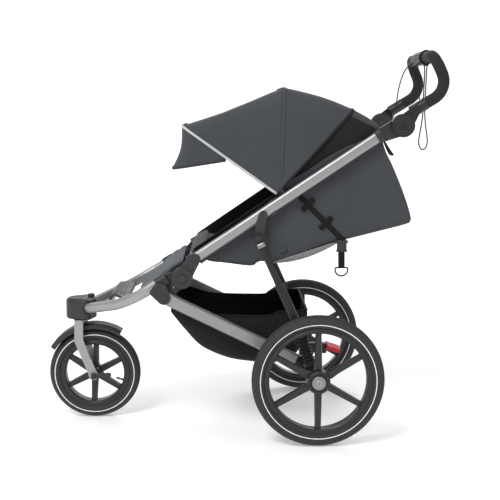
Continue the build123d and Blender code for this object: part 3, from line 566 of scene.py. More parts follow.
def block(name, size, place, finish, bevel, turn=None):
    """Moulded block with rounded edges."""
    bm = bmesh.new()
    bmesh.ops.create_cube(bm, size=1)
    for v in bm.verts:
        v.co = Vector((v.co.x * size[0], v.co.y * size[1], v.co.z * size[2]))
    bmesh.ops.bevel(bm, geom=bm.edges[:], offset=bevel, segments=4, profile=0.6, affect="EDGES")
    piece = from_bmesh(name, bm, look[finish])
    if turn:
        piece.rotation_euler = turn
    piece.location = place
    return piece


def merged(name, pieces):
    """One piece made of several, with the first one's finish."""
    bpy.context.view_layer.update()
    bm = bmesh.new()
    for piece in pieces:
        mesh = piece.data.copy()
        mesh.transform(piece.matrix_world)
        bm.from_mesh(mesh)
        bpy.data.meshes.remove(mesh)
    finish = pieces[0].data.materials[0]
    for piece in pieces:
        bpy.data.objects.remove(piece)
    return from_bmesh(name, bm, finish)


def placed(piece, body="upper_frame", replaces=(), slot=None):
    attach(piece, body)
    slot or slot_of[piece.data.materials[0].name]
    if replaces:
        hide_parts(*replaces)
    return piece


def stud(name, place, direction, length, radii, finish, body):
    """Small turned piece: (share of length, radius) steps along a direction."""
    run = Vector(direction).normalized()
    side = run.orthogonal().normalized()
    other = run.cross(side)
    rows = [oval(Vector(place) + run * length * share, side, other, radius) for share, radius in radii]
    return placed(loft(name, rows, finish, around=True), body)


def turned_ring(name, centre, y, sgn, profile, count, finish, body, slot=None):
    """Thin ring round an axle, through (radius, height) points. Height is measured outward from y."""
    points = [(radius, sgn * y + sgn * height) for radius, height in profile]
    placed(lathe(name, points, centre, finish, count), body, slot=slot)


def cut_sheet(rows, flat=None):
    """Works out a sheet's flat size, unless given, as its pattern's longest length each way. Nothing is
    kept.
    """
    width, length = flat or [max(lengths_along(line)[-1] for line in lines)
                             for lines in (rows, zip(*rows))]
    for low, high in zip(rows, rows[1:]):
        for a, b, c, d in zip(low, low[1:], high[1:], high):
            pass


def sewn(name, rows, finish, thickness, replaces=(), body="upper_frame", flat=None,
         subdivide=0):
    """Lofted fabric on a body."""
    piece = placed(loft(name, rows, finish, thickness, subdivide=subdivide), body, replaces)
    cut_sheet(rows, flat)
    return piece


# ---- cords


def cord(name, node, points):
    """Smooth NURBS cord from the handlebar and back, with the route's points as its control points."""
    curve = bpy.data.curves.new(name, "CURVE")
    curve.dimensions = "3D"
    curve.bevel_depth = CORD_DIAMETER / 2
    curve.bevel_resolution = 4
    curve.resolution_u = 14
    line = curve.splines.new("NURBS")
    line.points.add(len(points) - 1)
    for control, p in zip(line.points, points):
        control.co = (*p, 1)
    line.order_u = 3
    line.use_endpoint_u = True
    curve.use_fill_caps = True
    curve.materials.append(look["cable_black"])
    piece = placed(linked(name, curve), "handlebar", [node])


CORD_DIAMETER = 0.004
cord("brake_cable_left_cord", "brake_cable_left", [
    (0.5518, -0.071, 1.1453), (0.541, -0.071, 1.1372), (0.537, -0.079, 1.110), (0.543, -0.096, 1.080),
    (0.548, -0.122, 1.052), (0.545, -0.150, 1.030), (0.540, -0.1766, 1.016)])
cord("brake_cable_right_cord", "brake_cable_right", [
    (0.5518, 0.071, 1.1453), (0.541, 0.071, 1.1372), (0.530, 0.082, 1.108), (0.525, 0.102, 1.076),
    (0.525, 0.130, 1.046), (0.528, 0.155, 1.024), (0.532, 0.1766, 1.011)])
cord("wrist_strap_cord", "wrist_strap", [
    (0.573, -0.072, 1.1382), (0.574, -0.073, 1.110), (0.572, -0.074, 1.060), (0.572, -0.075, 1.008),
    (0.568, -0.076, 0.962), (0.562, -0.076, 0.926), (0.559, -0.075, 0.902), (0.564, -0.074, 0.885),
    (0.574, -0.073, 0.878), (0.584, -0.072, 0.885), (0.589, -0.071, 0.902), (0.586, -0.070, 0.926),
    (0.580, -0.070, 0.962), (0.577, -0.070, 1.008), (0.579, -0.070, 1.060), (0.580, -0.070, 1.110),
    (0.581, -0.070, 1.1382)])

# ---- canopy

FRONT_BASE, FRONT_TIP = (0.106, 0.752), (-0.179, 0.955)
MID_BASE, MID_TIP = (0.120, 0.766), (0.130, 1.070)
REAR_BASE, REAR_TIP = (0.128, 0.774), (0.341, 1.005)
CANOPY_HALF, CANOPY_CORNER = 0.2112, 0.050
INSIDE_CANOPY = Vector((0.08, 0, 0.86))
CANVAS = 0.0014
FINE_CLOTH = 0.0012

front_edge = arch(FRONT_BASE, FRONT_TIP, CANOPY_HALF, CANOPY_CORNER)
mid_edge = arch(MID_BASE, MID_TIP, CANOPY_HALF, CANOPY_CORNER)
rear_edge = arch(REAR_BASE, REAR_TIP, CANOPY_HALF, CANOPY_CORNER)


def swell(roof, sides, peak=1.0):
    """Bulge of a panel in metres, over the roof and down the sides. v runs from arch to arch."""
    def bulge(v, u):
        top = max(0.0, min(1.0, 1.6 * math.sin(math.pi * u) - 0.5))
        return roof * math.sin(math.pi * v ** peak) * top + sides * math.sin(math.pi * v) * (1 - top)
    return bulge


def canopy_panel(name, node, rows):
    """Fabric between two hoops, in place of the CAD panel."""
    panel = loft(name, rows, "fabric_canopy", CANVAS)
    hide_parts(node)
    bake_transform(panel)
    cut_sheet(rows)


canopy_panel("canopy_front_sheet", "canopy_front_panel",
             between_arches(mid_edge, front_edge, 26, swell(-0.0065, 0.002, 1.3), INSIDE_CANOPY,
                            0.0022))
canopy_panel("canopy_rear_sheet", "canopy_rear_panel",
             between_arches(rear_edge, mid_edge, 22, swell(0.0075, 0.0015), INSIDE_CANOPY, 0.0018))


def hoop_band(name, base, tip, width, rise, finish, body, inward, crown):
    """Band sewn round a hoop. inward shifts it across the hoop, in the side view."""
    run = Vector((tip[0] - base[0], 0, tip[1] - base[1])).normalized()
    across = Vector((run.z, 0, -run.x))
    line = arch(base, (tip[0] + run.x * rise, tip[1] + run.z * rise), CANOPY_HALF + rise, CANOPY_CORNER)
    line = [p + across * inward for p in line]
    placed(ribbon(name, line, across, width, 0.0012, finish, crown), body)


hoop_band("canopy_mid_seam", MID_BASE, MID_TIP, 0.011, 0.0006, "canopy_object", "canopy_mid", 0.001,
          0.0004)
hoop_band("canopy_front_piping", FRONT_BASE, FRONT_TIP, 0.0075, 0.0016, "reflective", "canopy_front",
          0.0015, 0.0014)
hoop_band("canopy_rear_binding", REAR_BASE, REAR_TIP, 0.007, 0.0012, "binding", "upper_frame", 0.0,
          0.0006)

# Visor: from the front hoop's upper part forward and down to a lower front edge.
VISOR_HALF = CANOPY_HALF - 0.001
HEM_LEG = 19
rows = between_arches(
    arch((-0.046, 0.858), FRONT_TIP, VISOR_HALF, CANOPY_CORNER),
    arch((-0.046, 0.853), (-0.209, 0.828), VISOR_HALF, CANOPY_CORNER * 0.9), 20, swell(-0.012, -0.002),
    Vector((-0.02, 0, 0.80)), 0.0018)
sewn("canopy_visor_sheet", rows, "fabric_canopy", CANVAS,
     ["canopy_visor"], "visor")
lip = rows[-1]
hem_sides = [Vector((-0.1 if HEM_LEG <= i < len(lip) - HEM_LEG else 0, 0, 1)) for i in range(len(lip))]
placed(ribbon("canopy_visor_hem", lip, hem_sides, 0.007, 0.0014, "edge_blue", 0.0006), "visor")

# Rear hood: mesh gussets at the sides and a fabric roof, from the rear hoop back to the tube ends.
HOOD_HALF = 0.1885
GUSSET_POINTS = 22
GUSSET_FLAT = (0.335, 0.125)
hood_front = arch((0.134, 0.768), (0.341, 1.0035), 0.2095, CANOPY_CORNER, HOOD_HALF)
hood_back = arch((0.421, 0.921), (0.436, 0.9385), HOOD_HALF, 0.015, HOOD_HALF)
rows = between_arches(hood_front, hood_back, 18, swell(0.004, 0.0), Vector((0.30, 0, 0.85)), 0.0015)
for name, cut in (("left", slice(0, GUSSET_POINTS)), ("right", slice(-GUSSET_POINTS, None))):
    sewn(f"hood_gusset_{name}", [row[cut] for row in rows], "black_net", FINE_CLOTH,
         ["rear_hood"], flat=GUSSET_FLAT)
sewn("hood_roof", [row[GUSSET_POINTS - 1:1 - GUSSET_POINTS] for row in rows], "fabric_canopy", CANVAS,
     ["rear_hood"])
strip_low = side_path([(0.128, 0.748), (0.28, 0.850), (0.424, 0.930)], 24)
strip_high = side_path([(0.134, 0.783), (0.20, 0.8225), (0.30, 0.884), (0.429, 0.9395)], 24)
for name, sgn in SIDES:
    # Fabric strip between the upper tube and the gusset.
    sewn(f"hood_strip_{name}", side_rows(strip_low, strip_high, 7, sgn, lambda t: 0.1915 + 0.0040 * t),
         "fabric_canopy", CANVAS)
placed(ribbon("hood_rear_hem", hood_back[12:-12], Vector((0.5, 0, -0.8)), 0.009, 0.0016, "binding",
              0.0005))

# ---- seat pod

POD_HALF = 0.1848
lower_line = side_path([
    (-0.146, 0.574), (-0.128, 0.556), (-0.095, 0.5415), (-0.05, 0.5365), (0.032, 0.527),
    (0.056, 0.5405), (0.107, 0.540), (0.183, 0.562), (0.257, 0.5915), (0.320, 0.607),
    (0.42, 0.632), (0.505, 0.654), (0.5225, 0.664), (0.520, 0.689), (0.496, 0.758),
    (0.463, 0.835), (0.443, 0.874), (0.430, 0.909)], 84)
upper_line = side_path([
    (-0.137, 0.577), (-0.04, 0.640), (0.064, 0.709), (0.128, 0.757), (0.422, 0.927)], 84)


def pod_row(low, high, half, corner):
    """Across the pod: down one side from high to low, across the floor, and up the other side."""
    line = arch((high.x, high.z), (low.x, low.z), half, corner, legs=14, arcs=6, top=16)
    middle = len(line) // 2
    pushed = []
    for i, p in enumerate(line):
        t = min(i, len(line) - 1 - i) / middle
        side = math.sin(math.pi * min(1.0, t / 0.72)) * 0.0018
        floor_share = max(0.0, 1 - abs(i - middle) / 9.0)
        pushed.append(p + Vector((0, side if p.y > 0 else -side, -0.003 * floor_share)))
    return pushed


rows = [pod_row(low, high, POD_HALF, min(0.020, (high - low).length * 0.45))
        for low, high in zip(lower_line, upper_line)]
sewn("seat_pod_shell", rows, "fabric_canopy", 0.0016,
     ["seat_pod"])

# The dark inner lining follows the shell a few millimetres inside it.
rows = [pod_row(low + (high - low).normalized() * 0.008, high, POD_HALF - 0.002, 0.022)
        for low, high in zip(lower_line[3:-2], upper_line[3:-2])]
sewn("seat_pod_lining", [[Vector((p.x, p.y * 0.965, p.z)) for p in row] for row in rows], "lining",
     FINE_CLOTH)

# Light mesh belly that hangs under the seat between the side panels.
BELLY_HALF = 0.181
rows = []
for t in steps(0.0, 1.0, 19):
    x = 0.092 + 0.225 * t
    edge = 0.5415 + (x - 0.107) * 0.325
    sag = 0.030 * math.sin(math.pi * t) ** 0.6
    rows.append([Vector((x, y, edge - sag * (1 - (abs(y) / BELLY_HALF) ** 8)))
                 for y in steps(-BELLY_HALF, BELLY_HALF, 23)])
sewn("seat_belly_mesh", rows, "light_net", FINE_CLOTH)

wing_low = side_path([(-0.142, 0.566), (-0.10, 0.594), (0.0, 0.660), (0.098, 0.725)], 30)
wing_high = side_path(
    [(-0.144, 0.582), (-0.133, 0.590), (-0.066, 0.636), (0.002, 0.682), (0.064, 0.724), (0.108, 0.754)],
    30)
for name, sgn in SIDES:
    # Black mesh wing above the tube beside the seat, and its binding.
    wing = side_rows(wing_low, wing_high, 9, sgn, lambda t: 0.1858 - 0.004 * math.sin(math.pi * t))
    sewn(f"side_mesh_{name}", wing, "black_net", CANVAS)
    placed(tube(f"side_mesh_hem_{name}", [Vector((p.x, sgn * 0.1856, p.z)) for p in wing_high], 0.0022,
                "fabric_dark"))
    # Seam down the side panel.
    seam = path_through(
        [(0.066, sgn * 0.1862, 0.690), (0.080, sgn * 0.1870, 0.640), (0.094, sgn * 0.1852, 0.562)], 20)
    placed(tube(f"pod_seam_{name}", seam, 0.0012, "canopy_object", 8))
    # Small loop low on the side panel.
    patch = path_through(
        [(0.121, sgn * 0.1866, 0.566), (0.136, sgn * 0.1872, 0.570), (0.139, sgn * 0.1874, 0.584)], 10)
    placed(ribbon(f"pod_loop_{name}", patch, (0, 1, 0), 0.004, 0.0016, "edge_blue"))
    # Flap behind the tube's end, in rows of (front x, front z, back x, back z, half).
    flap = [[Vector((x0, sgn * half, z0)), Vector((x1, sgn * half, z1))] for x0, z0, x1, z1, half in (
        (0.428, 0.912, 0.436, 0.911, 0.1862), (0.434, 0.896, 0.447, 0.893, 0.1872),
        (0.441, 0.880, 0.457, 0.877, 0.1880), (0.449, 0.864, 0.469, 0.866, 0.1884))]
    sewn(f"pod_flap_{name}", flap, "fabric_dark", FINE_CLOTH, subdivide=2)

# ---- padded seat, back and leg rest

CHANNEL_WIDTH = 0.006
AWAY = 1.0  # a distance at which a sewn channel has no effect


def pad(name, node, body, shrink, cap, channels, depth=0.005):
    """Stuffed pad grown by a cloth pressure step from a slightly smaller copy of its CAD solid."""
    mesh = nodes[node].data.copy()
    mesh.materials.clear()
    mesh.materials.append(look["fabric_seat"])
    piece = linked(name, mesh)
    remesh = piece.modifiers.new("remesh", "REMESH")
    remesh.mode = "VOXEL"
    remesh.voxel_size = 0.006
    baked(piece)
    for v, normal in [(v, v.normal.copy()) for v in piece.data.vertices]:
        v.co -= normal * shrink
    for _ in range(2):
        soften(piece.data)
    inflate(piece, cap)
    for v in piece.data.vertices:
        push = 0.0
        for distance in channels:
            push += depth * math.exp(-(distance(v.co) / CHANNEL_WIDTH) ** 2)
        v.co -= v.normal * (push - 0.0012 * noise.noise(v.co * 26.0))
    piece.modifiers.new("subdivide", "SUBSURF").levels = 1
    baked(piece)
    placed(piece, body, [node])


def soften(mesh):
    """Moves each vertex half way to its neighbours' mean."""
    sums = [Vector() for _ in mesh.vertices]
    counts = [0] * len(mesh.vertices)
    for edge in mesh.edges:
        a, b = edge.vertices
        sums[a] += mesh.vertices[b].co
        sums[b] += mesh.vertices[a].co
        counts[a] += 1
        counts[b] += 1
    for v, total, count in zip(mesh.vertices, sums, counts):
        if count:
            v.co = v.co.lerp(total / count, 0.5)


def inflate(piece, cap, frames=20):
    """Runs cloth with inner pressure, then keeps the result, moving no point by more than cap."""
    rest = [v.co.copy() for v in piece.data.vertices]
    modifier = piece.modifiers.new("cloth", "CLOTH")
    modifier.settings.use_pressure = True
    modifier.settings.uniform_pressure_force = 4.0
    modifier.settings.effector_weights.gravity = 0.0
    modifier.collision_settings.use_collision = False
    modifier.collision_settings.use_self_collision = False
    modifier.point_cache.frame_start = 1
    modifier.point_cache.frame_end = frames
    for number in range(1, frames + 1):
        scene.frame_set(number)
    graph = bpy.context.evaluated_depsgraph_get()
    result = [v.co.copy() for v in piece.evaluated_get(graph).data.vertices]
    piece.modifiers.clear()
    for v, start, end in zip(piece.data.vertices, rest, result):
        step = end - start
        if step.length > cap:
            step *= cap / step.length
        v.co = start + step
    scene.frame_set(1)


pad("seat_cushion_pad", "seat_cushion", "upper_frame", 0.004, 0.006, [
    lambda p: abs(abs(p.y) - 0.105) if p.z > 0.56 else AWAY,
    lambda p: abs(p.x + 0.035) if p.z > 0.56 and abs(p.y) < 0.105 else AWAY])
# Padded roll across the seat's front edge, in a brown grey, with its sewn line.
ROLL_HALF = 0.1775
rows = []
for y in steps(-ROLL_HALF, ROLL_HALF, 33):
    pinch = 1 - 0.35 * (abs(y) / ROLL_HALF) ** 10
    row = []
    for a in circle(28):
        u = 0.030 * pinch * squared(math.cos(a), 0.85)
        w = 0.0120 * pinch * squared(math.sin(a), 0.85)
        w -= 0.0022 * math.exp(-((u - 0.004) / 0.0035) ** 2) * (1 if w > 0 else 0)
        w += 0.0012 * noise.noise(Vector((u * 30, y * 18, 0.3)))
        row.append(Vector((-0.1300 + 0.86 * u - 0.45 * w, y, 0.5805 + 0.50 * u + 0.88 * w)))
    rows.append(row)
roll = placed(loft("seat_front_roll", rows, "roll_grey", around=True), "upper_frame", ["seat_cushion"])

BACK_TILT = math.radians(16)
back_hinge = Vector(pivots["backrest_recline"])
back_run = Vector((math.cos(BACK_TILT), 0, math.sin(BACK_TILT)))
back_normal = Vector((-back_run.z, 0, back_run.x))


def back_along(p):
    return (p - back_hinge).dot(back_run)


def back_point(along, up, y):
    """Point on the backrest: along it from its hinge, up from its middle, and across."""
    return back_hinge + back_run * along + back_normal * up + Y_AXIS * y


pad("backrest_pad", "backrest", "backrest", 0.004, 0.006, [
    lambda p: abs(abs(p.y) - 0.100),
    lambda p: abs(back_along(p) - 0.13) if abs(p.y) < 0.1 else AWAY,
    lambda p: abs(back_along(p) - 0.27) if abs(p.y) < 0.1 else AWAY])
pad("leg_rest_pad", "leg_rest", "front_frame", 0.0035, 0.005, [
    lambda p: abs(abs(p.y) - 0.150), lambda p: abs(p.x + 0.262), lambda p: abs(p.x + 0.205)], 0.0035)

# ---- harness

STRAP_WIDTH, STRAP_THICKNESS = 0.025, 0.0018
for name, sgn in SIDES:
    y = sgn * 0.058
    band = path_through(
        [back_point(0.302, 0.0185, y), back_point(0.255, 0.0205, y), back_point(0.18, 0.0215, y),
        back_point(0.10, 0.0205, y * 0.95), back_point(0.055, 0.020, y * 0.9)], 30)
    placed(ribbon(f"shoulder_strap_{name}", band, Y_AXIS, STRAP_WIDTH, STRAP_THICKNESS, "webbing"),
           "backrest", ["shoulder_straps"] if sgn < 0 else [])
    rows = []
    for t in steps(0.0, 1.0, 21):
        round_end = math.sin(math.pi * t) ** 0.35
        rows.append(
            oval(back_point(0.105 + 0.135 * t, 0.0235, y), Y_AXIS, back_normal,
            0.021 * (0.75 + 0.25 * round_end), 0.0065 * (0.25 + 0.75 * round_end), 18, (0.7, 0.8)))
    sleeve = placed(loft(f"shoulder_pad_{name}", rows, "lining", around=True), "backrest")
    rows = [oval(back_point(0.262 + 0.004 * k, 0.0215, y), Y_AXIS, Z_AXIS, 0.016, 0.0025, 14)
            for k in range(5)]
    placed(loft(f"strap_slider_{name}", rows, "cap_silver", around=True), "backrest")
    waist = path_through([(0.002, sgn * 0.171, 0.593), (0.002, sgn * 0.14, 0.5945),
                          (0.001, sgn * 0.08, 0.5935), (0.0, sgn * 0.024, 0.5935)], 24)
    placed(ribbon(f"waist_strap_{name}", waist, X_AXIS, STRAP_WIDTH, STRAP_THICKNESS, "webbing"))

EAR = (0.022, 0.016, 0.009)
buckle = [block("buckle_core", (0.044, 0.050, 0.013), (0, 0, 0.5925), "plastic_dark", 0.005),
          block("buckle_ear_left", EAR, (0.001, -0.029, 0.5935), "plastic_dark", 0.003),
          block("buckle_ear_right", EAR, (0.001, 0.029, 0.5935), "plastic_dark", 0.003)]
placed(merged("harness_buckle_body", buckle), "upper_frame", ["harness"], "webbing")
crotch = side_path([(-0.022, 0.593), (-0.050, 0.5955), (-0.075, 0.594), (-0.088, 0.588)], 12)
placed(ribbon("crotch_strap", crotch, Y_AXIS, 0.028, 0.003, "webbing", 0.001))

# ---- recline straps

for name, sgn in SIDES:
    top, low = Vector((0.180, sgn * 0.1892, 0.741)), Vector((0.316, sgn * 0.1892, 0.604))
    line = path_through([top, top.lerp(low, 0.35) + Y_AXIS * sgn * 0.0006, top.lerp(low, 0.7), low], 26)
    run = (low - top).normalized()
    across = Vector((-run.z, 0, run.x))
    placed(ribbon(f"recline_strap_{name}", line, across, 0.016, 0.0017, "webbing"), "upper_frame",
           ["recline_straps"] if sgn < 0 else [])
    for k, share in enumerate((0.17, 0.58)):
        centre = top.lerp(low, share) + Y_AXIS * sgn * 0.0018
        bar = path_through([centre - across * 0.025, centre, centre + across * 0.025], 8)
        placed(ribbon(f"strap_bar_{name}_{k}", bar, run, 0.015, 0.002, "webbing", 0.0006))
    catch = [block(f"catch_{part}_{name}", size, (x, sgn * y, z), "plastic_dark", 0.002)
             for part, size, (x, y, z) in (
                 ("bar", (0.040, 0.007, 0.009), (0.307, 0.1910, 0.6040)),
                 ("body", (0.030, 0.006, 0.028), (0.308, 0.1910, 0.5890)),
                 ("foot", (0.034, 0.007, 0.006), (0.308, 0.1912, 0.5755)))]
    placed(merged(f"strap_buckle_{name}", catch), slot="webbing")

# The left strap's tail hangs below its buckle and ends in a ring.
tail = path_through([
    (0.307, -0.1900, 0.588), (0.3075, -0.1908, 0.560), (0.308, -0.1900, 0.530),
    (0.308, -0.1905, 0.523)], 14)
placed(ribbon("strap_tail", tail, X_AXIS, 0.020, 0.0034, "webbing", 0.0004))
ring = side_path(
    [(0.291, 0.523), (0.308, 0.5235), (0.325, 0.523), (0.3275, 0.517), (0.324, 0.506), (0.316, 0.4995),
    (0.308, 0.498), (0.300, 0.4995), (0.292, 0.506), (0.2885, 0.517)], 48, -0.1903, closed=True)
placed(tube("strap_ring", ring, 0.0026, "strut_black", closed=True))

# ---- basket

BASKET_HALF, BASKET_COUNT = 0.1795, 60
basket_low = side_path([
    (-0.2185, 0.388), (-0.211, 0.374), (-0.174, 0.324), (-0.125, 0.270), (-0.051, 0.237),
    (0.027, 0.220), (0.095, 0.215), (0.148, 0.228), (0.180, 0.254), (0.200, 0.310),
    (0.206, 0.350), (0.2055, 0.382)],
    BASKET_COUNT)
basket_high = side_path([
    (-0.215, 0.393), (-0.190, 0.401), (-0.160, 0.3945), (-0.107, 0.3785), (-0.050, 0.3735),
    (0.023, 0.3715), (0.088, 0.3720), (0.116, 0.384), (0.160, 0.386), (0.203, 0.3895)
], BASKET_COUNT)
rows = []
for k, (low, high) in enumerate(zip(basket_low, basket_high)):
    line = arch((high.x, high.z), (low.x, low.z), BASKET_HALF, min(0.034, (high - low).length * 0.45),
                legs=14, arcs=6, top=18)
    middle = len(line) // 2
    row = []
    for i, p in enumerate(line):
        t = min(i, len(line) - 1 - i) / middle
        slack = 0.006 * noise.noise(Vector((p.x * 9.0, p.y * 5.0, p.z * 13.0)))
        slack *= math.sin(math.pi * min(1, t * 1.1))
        drawn_in = 0.006 * math.sin(math.pi * min(1.0, t / 0.6))
        drawn_in *= math.sin(math.pi * k / (BASKET_COUNT - 1))
        out = math.copysign(slack - drawn_in, p.y) if abs(p.y) > 0.1 else 0.0
        row.append(p + Vector((0, out, slack * 0.6 if t > 0.5 else 0.0)))
    rows.append(row)
basket = sewn("basket_shell", rows, "fabric_dark", CANVAS,
              ["basket"], "rear_frame")
rim = [Vector((p.x, -BASKET_HALF, p.z)) for p in basket_high]
rim += [Vector((0.2045, y, 0.388)) for y in steps(-0.17, 0.17, 11)]
rim += [Vector((p.x, BASKET_HALF, p.z)) for p in reversed(basket_high)]
rim += [Vector((-0.2150, 0.17 - 0.34 * t, 0.393 - 0.006 * math.sin(math.pi * t)))
        for t in steps(0, 1, 11)]
rim = path_through(rim, 200, closed=True)
hem = placed(tube("basket_hem", rim, 0.0030, "fabric_dark", closed=True), "rear_frame")
for name, sgn in SIDES:
    seam = path_through([(-0.190, sgn * 0.1795, 0.372), (-0.08, sgn * 0.1785, 0.352),
                         (0.04, sgn * 0.1785, 0.342), (0.185, sgn * 0.1795, 0.352)], 40)
    seam_piece = placed(tube(f"basket_seam_{name}", seam, 0.0016, "fabric_dark", 8), "rear_frame")
    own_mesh(seam_piece)
for piece in (basket, hem):
    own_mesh(piece)

# ---- wheels

REAR, FRONT = pivot("rear_wheel_right_spin"), pivot("front_wheel_spin")
REAR_HALF = pivots["rear_wheel_right_spin"][1]
REAR_RADIUS, FRONT_RADIUS = 0.200, 0.1485
TYRE_HALF, TYRE_FULLNESS = 0.0235, 0.86


def tyre_piece(name, centre, y, radius, bead, ring, body, node, blocks):
    """Treaded tyre: blocks and grooves over the crown, raised lines on the walls, reflective rings."""
    rise = (radius - bead) / 2
    leans = steps(-152, 152, 45)
    profile = [(radius - rise + rise * squared(math.cos(math.radians(lean)), TYRE_FULLNESS),
                y + TYRE_HALF * squared(math.sin(math.radians(lean)), TYRE_FULLNESS)) for lean in leans]

    def cut(n, k):
        lean = abs(leans[k])
        depth = 0.0
        if lean < 50:
            if lean > 9 and (n + round(lean / 12.0)) % 5 == 0:
                depth = 0.0013
            if 14 <= lean < 21:
                depth = 0.0014
        for wall in (64, 96, 104):
            if abs(lean - wall) < 3:
                depth -= 0.0005
        return depth

    placed(lathe(name, profile, centre, "tyre", blocks * 5, cut), body, [node])
    for label, sgn in (("a", -1), ("b", 1)):
        strip = []
        for r in (ring - 0.0013, ring - 0.0005, ring + 0.0005, ring + 0.0013):
            share = (r - (radius - rise)) / rise
            a = math.acos(max(-1, min(1, squared(share, 1 / TYRE_FULLNESS))))
            strip.append((r, y + sgn * (TYRE_HALF * math.sin(a) ** TYRE_FULLNESS + 0.0004)))
        placed(lathe(f"{name}_ring_{label}", strip, centre, "tyre_ring", 160), body)


def valve(name, centre, y, radius, turn, length, body):
    """Valve that points from the rim towards the hub, at an angle round the wheel."""
    out = Vector((math.cos(turn), 0, math.sin(turn)))
    stud(name, Vector((centre[0], y, centre[1])) + out * radius, -out, length,
         ((0, 0.0036), (0.25, 0.0036), (0.3, 0.0026), (0.55, 0.0026), (0.6, 0.0034), (0.95, 0.0032),
          (1, 0.0)), "cable_black", body)


def raised_ring(name, centre, y, sgn, radius, body):
    turned_ring(
        name, centre, y, sgn, [(radius - 0.0011, -0.0005), (radius - 0.0005, 0.0006),
        (radius + 0.0005, 0.0006), (radius + 0.0011, -0.0005)], 64, "plastic_trim", body)


tyre_piece("front_tyre_tread", FRONT, 0.0, FRONT_RADIUS, 0.108, 0.1290, "front_wheel", "front_tyre", 64)
valve("front_valve", FRONT, 0, 0.095, -0.30, 0.024, "front_wheel")
for name, sgn in SIDES:
    turned_ring(
        f"front_rim_lip_{name}", FRONT, 0.0185, sgn, [(0.0985, 0), (0.1000, 0.0012), (0.1040, 0.0012),
        (0.1055, 0)], 96, "rim_dark", "front_wheel")
    # Rear tyre, then the rim's lip, the hub's collar, the cap's ring and the valve.
    wheel = f"rear_wheel_{name}"
    tyre_piece(f"rear_tyre_tread_{name}", REAR, sgn * REAR_HALF, REAR_RADIUS, 0.158, 0.1740, wheel,
               f"rear_tyre_{name}", 84)
    turned_ring(
        f"rear_rim_lip_{name}", REAR, 0.3285, sgn, [(0.1500, 0), (0.1512, 0.0010), (0.1545, 0.0012),
        (0.1560, 0)], 128, "rim_dark", wheel)
    turned_ring(
        f"rear_hub_collar_{name}", REAR, 0.3372, sgn, [(0.0225, -0.002), (0.0232, 0.0012),
        (0.0285, 0.0016), (0.0300, -0.001)], 72, "strut_black", wheel)
    turned_ring(
        f"rear_cap_rings_{name}", REAR, 0.3452, sgn, [(0.0060, -0.0006), (0.0068, 0.0004),
        (0.0085, 0.0004), (0.0093, -0.0006)], 48, "axle_steel", f"wheel_release_{name}",
        slot="cap_silver")
    valve(f"rear_valve_{name}", REAR, sgn * REAR_HALF, 0.1465, 2.1, 0.026, wheel)

# ---- shock boots and small trim

HINGE, HUB = pivot("frame_fold"), pivot("handlebar_tilt")
SHOCK_UP = Vector((-0.026, 0, 0.082)).normalized()
BOOT_LENGTH, BOOT_FOLDS = 0.086, 7
FOLD_PITCH = (BOOT_LENGTH - 0.010) / BOOT_FOLDS
FOLD_SHAPE = ((0.05, 0.0152), (0.25, 0.0162), (0.5, 0.0188), (0.62, 0.0190), (0.85, 0.0165),
              (0.98, 0.0152))
TUBE_SLOPE = -0.5876
boot_profile = [(0.0, 0.0175)]
for k in range(BOOT_FOLDS):
    boot_profile += [(0.002 + k * FOLD_PITCH + FOLD_PITCH * t, r) for t, r in FOLD_SHAPE]
boot_profile += [(BOOT_LENGTH - 0.006, 0.0155), (BOOT_LENGTH - 0.004, 0.0172), (BOOT_LENGTH, 0.0172)]

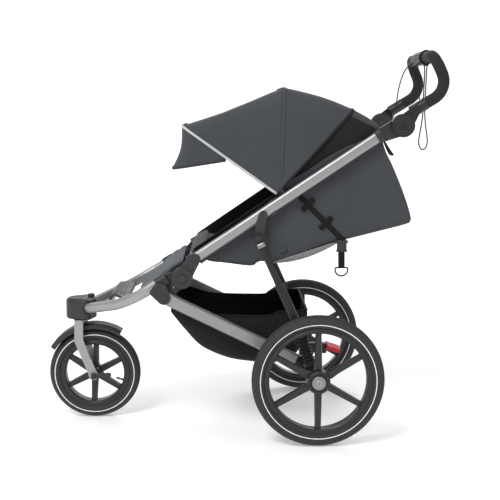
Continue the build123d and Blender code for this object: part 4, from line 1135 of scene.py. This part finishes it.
for name, sgn in SIDES:
    low = Vector((0.206, sgn * 0.255, 0.246))
    rows = [oval(low + SHOCK_UP * h, Y_AXIS, SHOCK_UP.cross(Y_AXIS), r, count=40)
            for h, r in boot_profile]
    boot = placed(loft(f"shock_bellows_{name}", rows, "boot_rubber", around=True),
                  f"wheel_carrier_{name}", [f"shock_boot_{name}"])
    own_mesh(boot)
    # Grey collar under the strut's eye, and two screw heads on its sleeve.
    eye, cup = Vector((0.050, sgn * 0.231, 0.620)), Vector((0.1745, sgn * 0.255, 0.342))
    run = (cup - eye).normalized()
    rows = [oval(eye.lerp(cup, t), Y_AXIS, run.cross(Y_AXIS), 0.0066 + grow, 0.0114 + grow, 32,
                 (0.5, 0.5))
            for t, grow in ((0.052, 0.0), (0.054, 0.0012), (0.094, 0.0014), (0.098, 0.0))]
    placed(loft(f"strut_collar_{name}", rows, "cap_silver", around=True), "struts")
    for k, t in enumerate((0.56, 0.84)):
        stud(f"strut_screw_{name}_{k}", eye.lerp(cup, t) + Y_AXIS * sgn * 0.0088, Y_AXIS * sgn, 0.0022,
             ((0, 0.0040), (0.6, 0.0040), (1.0, 0.0032), (1.0, 0.0012), (0.5, 0.0010),
              (0.5, 0.0)), "strut_black", "struts")
    # Rivet and turned rings on the fold hinge, rings on the handlebar's hub, clips under the tube.
    stud(f"hinge_rivet_{name}", (-0.207, sgn * 0.2032, 0.466), Y_AXIS * sgn, 0.003,
         ((0, 0.0036), (0.5, 0.0036), (0.9, 0.0022), (1, 0.0)), "axle_steel", "front_frame")
    for k, (hinge_radius, hub_radius) in enumerate(((0.0145, 0.0186), (0.0225, 0.0266))):
        raised_ring(f"hinge_ring_{name}_{k}", HINGE, 0.2241, sgn, hinge_radius, "upper_frame")
        raised_ring(f"hub_ring_{name}_{k}", HUB, 0.2211, sgn, hub_radius, "handlebar")
    for k, (x, z) in enumerate(((0.101, 0.6935), (-0.116, 0.5500))):
        placed(block(f"tube_clip_{name}_{k}", (0.022, 0.017, 0.010), (x, sgn * 0.205, z),
                     "plastic_dark", 0.003, (0, TUBE_SLOPE, 0)))
    # Foam grip end ring by the cuff.
    cuff, bend = Vector((0.553, sgn * 0.196, 1.0225)), Vector((0.623, sgn * 0.196, 1.064))
    run = (bend - cuff).normalized()
    stud(f"grip_ring_{name}", cuff - run * 0.002, run, 0.005,
         ((0, 0.0186), (0.2, 0.0190), (0.8, 0.0190), (1, 0.0176)), "strut_black", "handlebar")

# Black boot over the pedal's arm, which leaves only the pad red.
placed(block("pedal_arm_boot", (0.070, 0.024, 0.034), (0.250, 0, 0.2255), "plastic_dark", 0.006,
             (0, 0.04, 0)), "brake_pedal")

# Wrist strap's loop round the bar's collar.
LOOP_RADIUS = 0.0212
loop_line = [
    Vector((0.578 + LOOP_RADIUS * math.cos(a), -0.0745 + 0.0012 * math.sin(2 * a),
    1.165 + LOOP_RADIUS * math.sin(a))) for a in circle(40)]
placed(tube("wrist_strap_loop", loop_line, 0.0019, "cable_black", 8, closed=True), "handlebar")

# Tread lines on the foot rest.
for k, (x, z) in enumerate(((-0.398, 0.4312), (-0.389, 0.4308), (-0.380, 0.4292), (-0.371, 0.4267))):
    ridge = [Vector((x, y, z)) for y in steps(-0.105, 0.105, 11)]
    placed(tube(f"footrest_ridge_{k}", ridge, 0.0016, "plastic_dark", 8), "front_frame")

# ---- floor

FLOOR_FRONT, FLOOR_BACK, SWEEP, WALL_TOP = -9.0, 6.0, 3.0, 8.0
FLAT_STEPS, SWEEP_STEPS = 17.4, 11.6
# The floor and wall glow white, more strongly further back: painted light that brightens the backdrop
# where the lamps reach less.
paint = Finish("studio_floor", (0.90, 0.90, 0.90), 0.7, emission_color=(1, 1, 1, 1))
depth = paint.node("ShaderNodeSeparateXYZ", {"Vector": paint.place()}).outputs["Y"]
paint.set("Emission Strength", paint.ranged(depth, 0.22, 0.52, 0.6, 3.5))
paint.set("Roughness", paint.ranged(paint.grain(paint.place(), 3.0), 0.62, 0.78))
look["floor"] = paint.material
# Level ground, a quarter round up, and a wall behind.
line = [(FLOOR_FRONT + (FLOOR_BACK - FLOOR_FRONT) * k / FLAT_STEPS, 0.0) for k in range(18)]
line += [(FLOOR_BACK + SWEEP * math.sin(a), SWEEP * (1 - math.cos(a)))
         for a in ((k - FLAT_STEPS) / SWEEP_STEPS * math.pi / 2 for k in range(18, 30))]
line.append((FLOOR_BACK + SWEEP, WALL_TOP))
loft("floor", [[Vector((x, y, z)) for x in (-14, -7, 0, 7, 14)] for y, z in line], "floor")
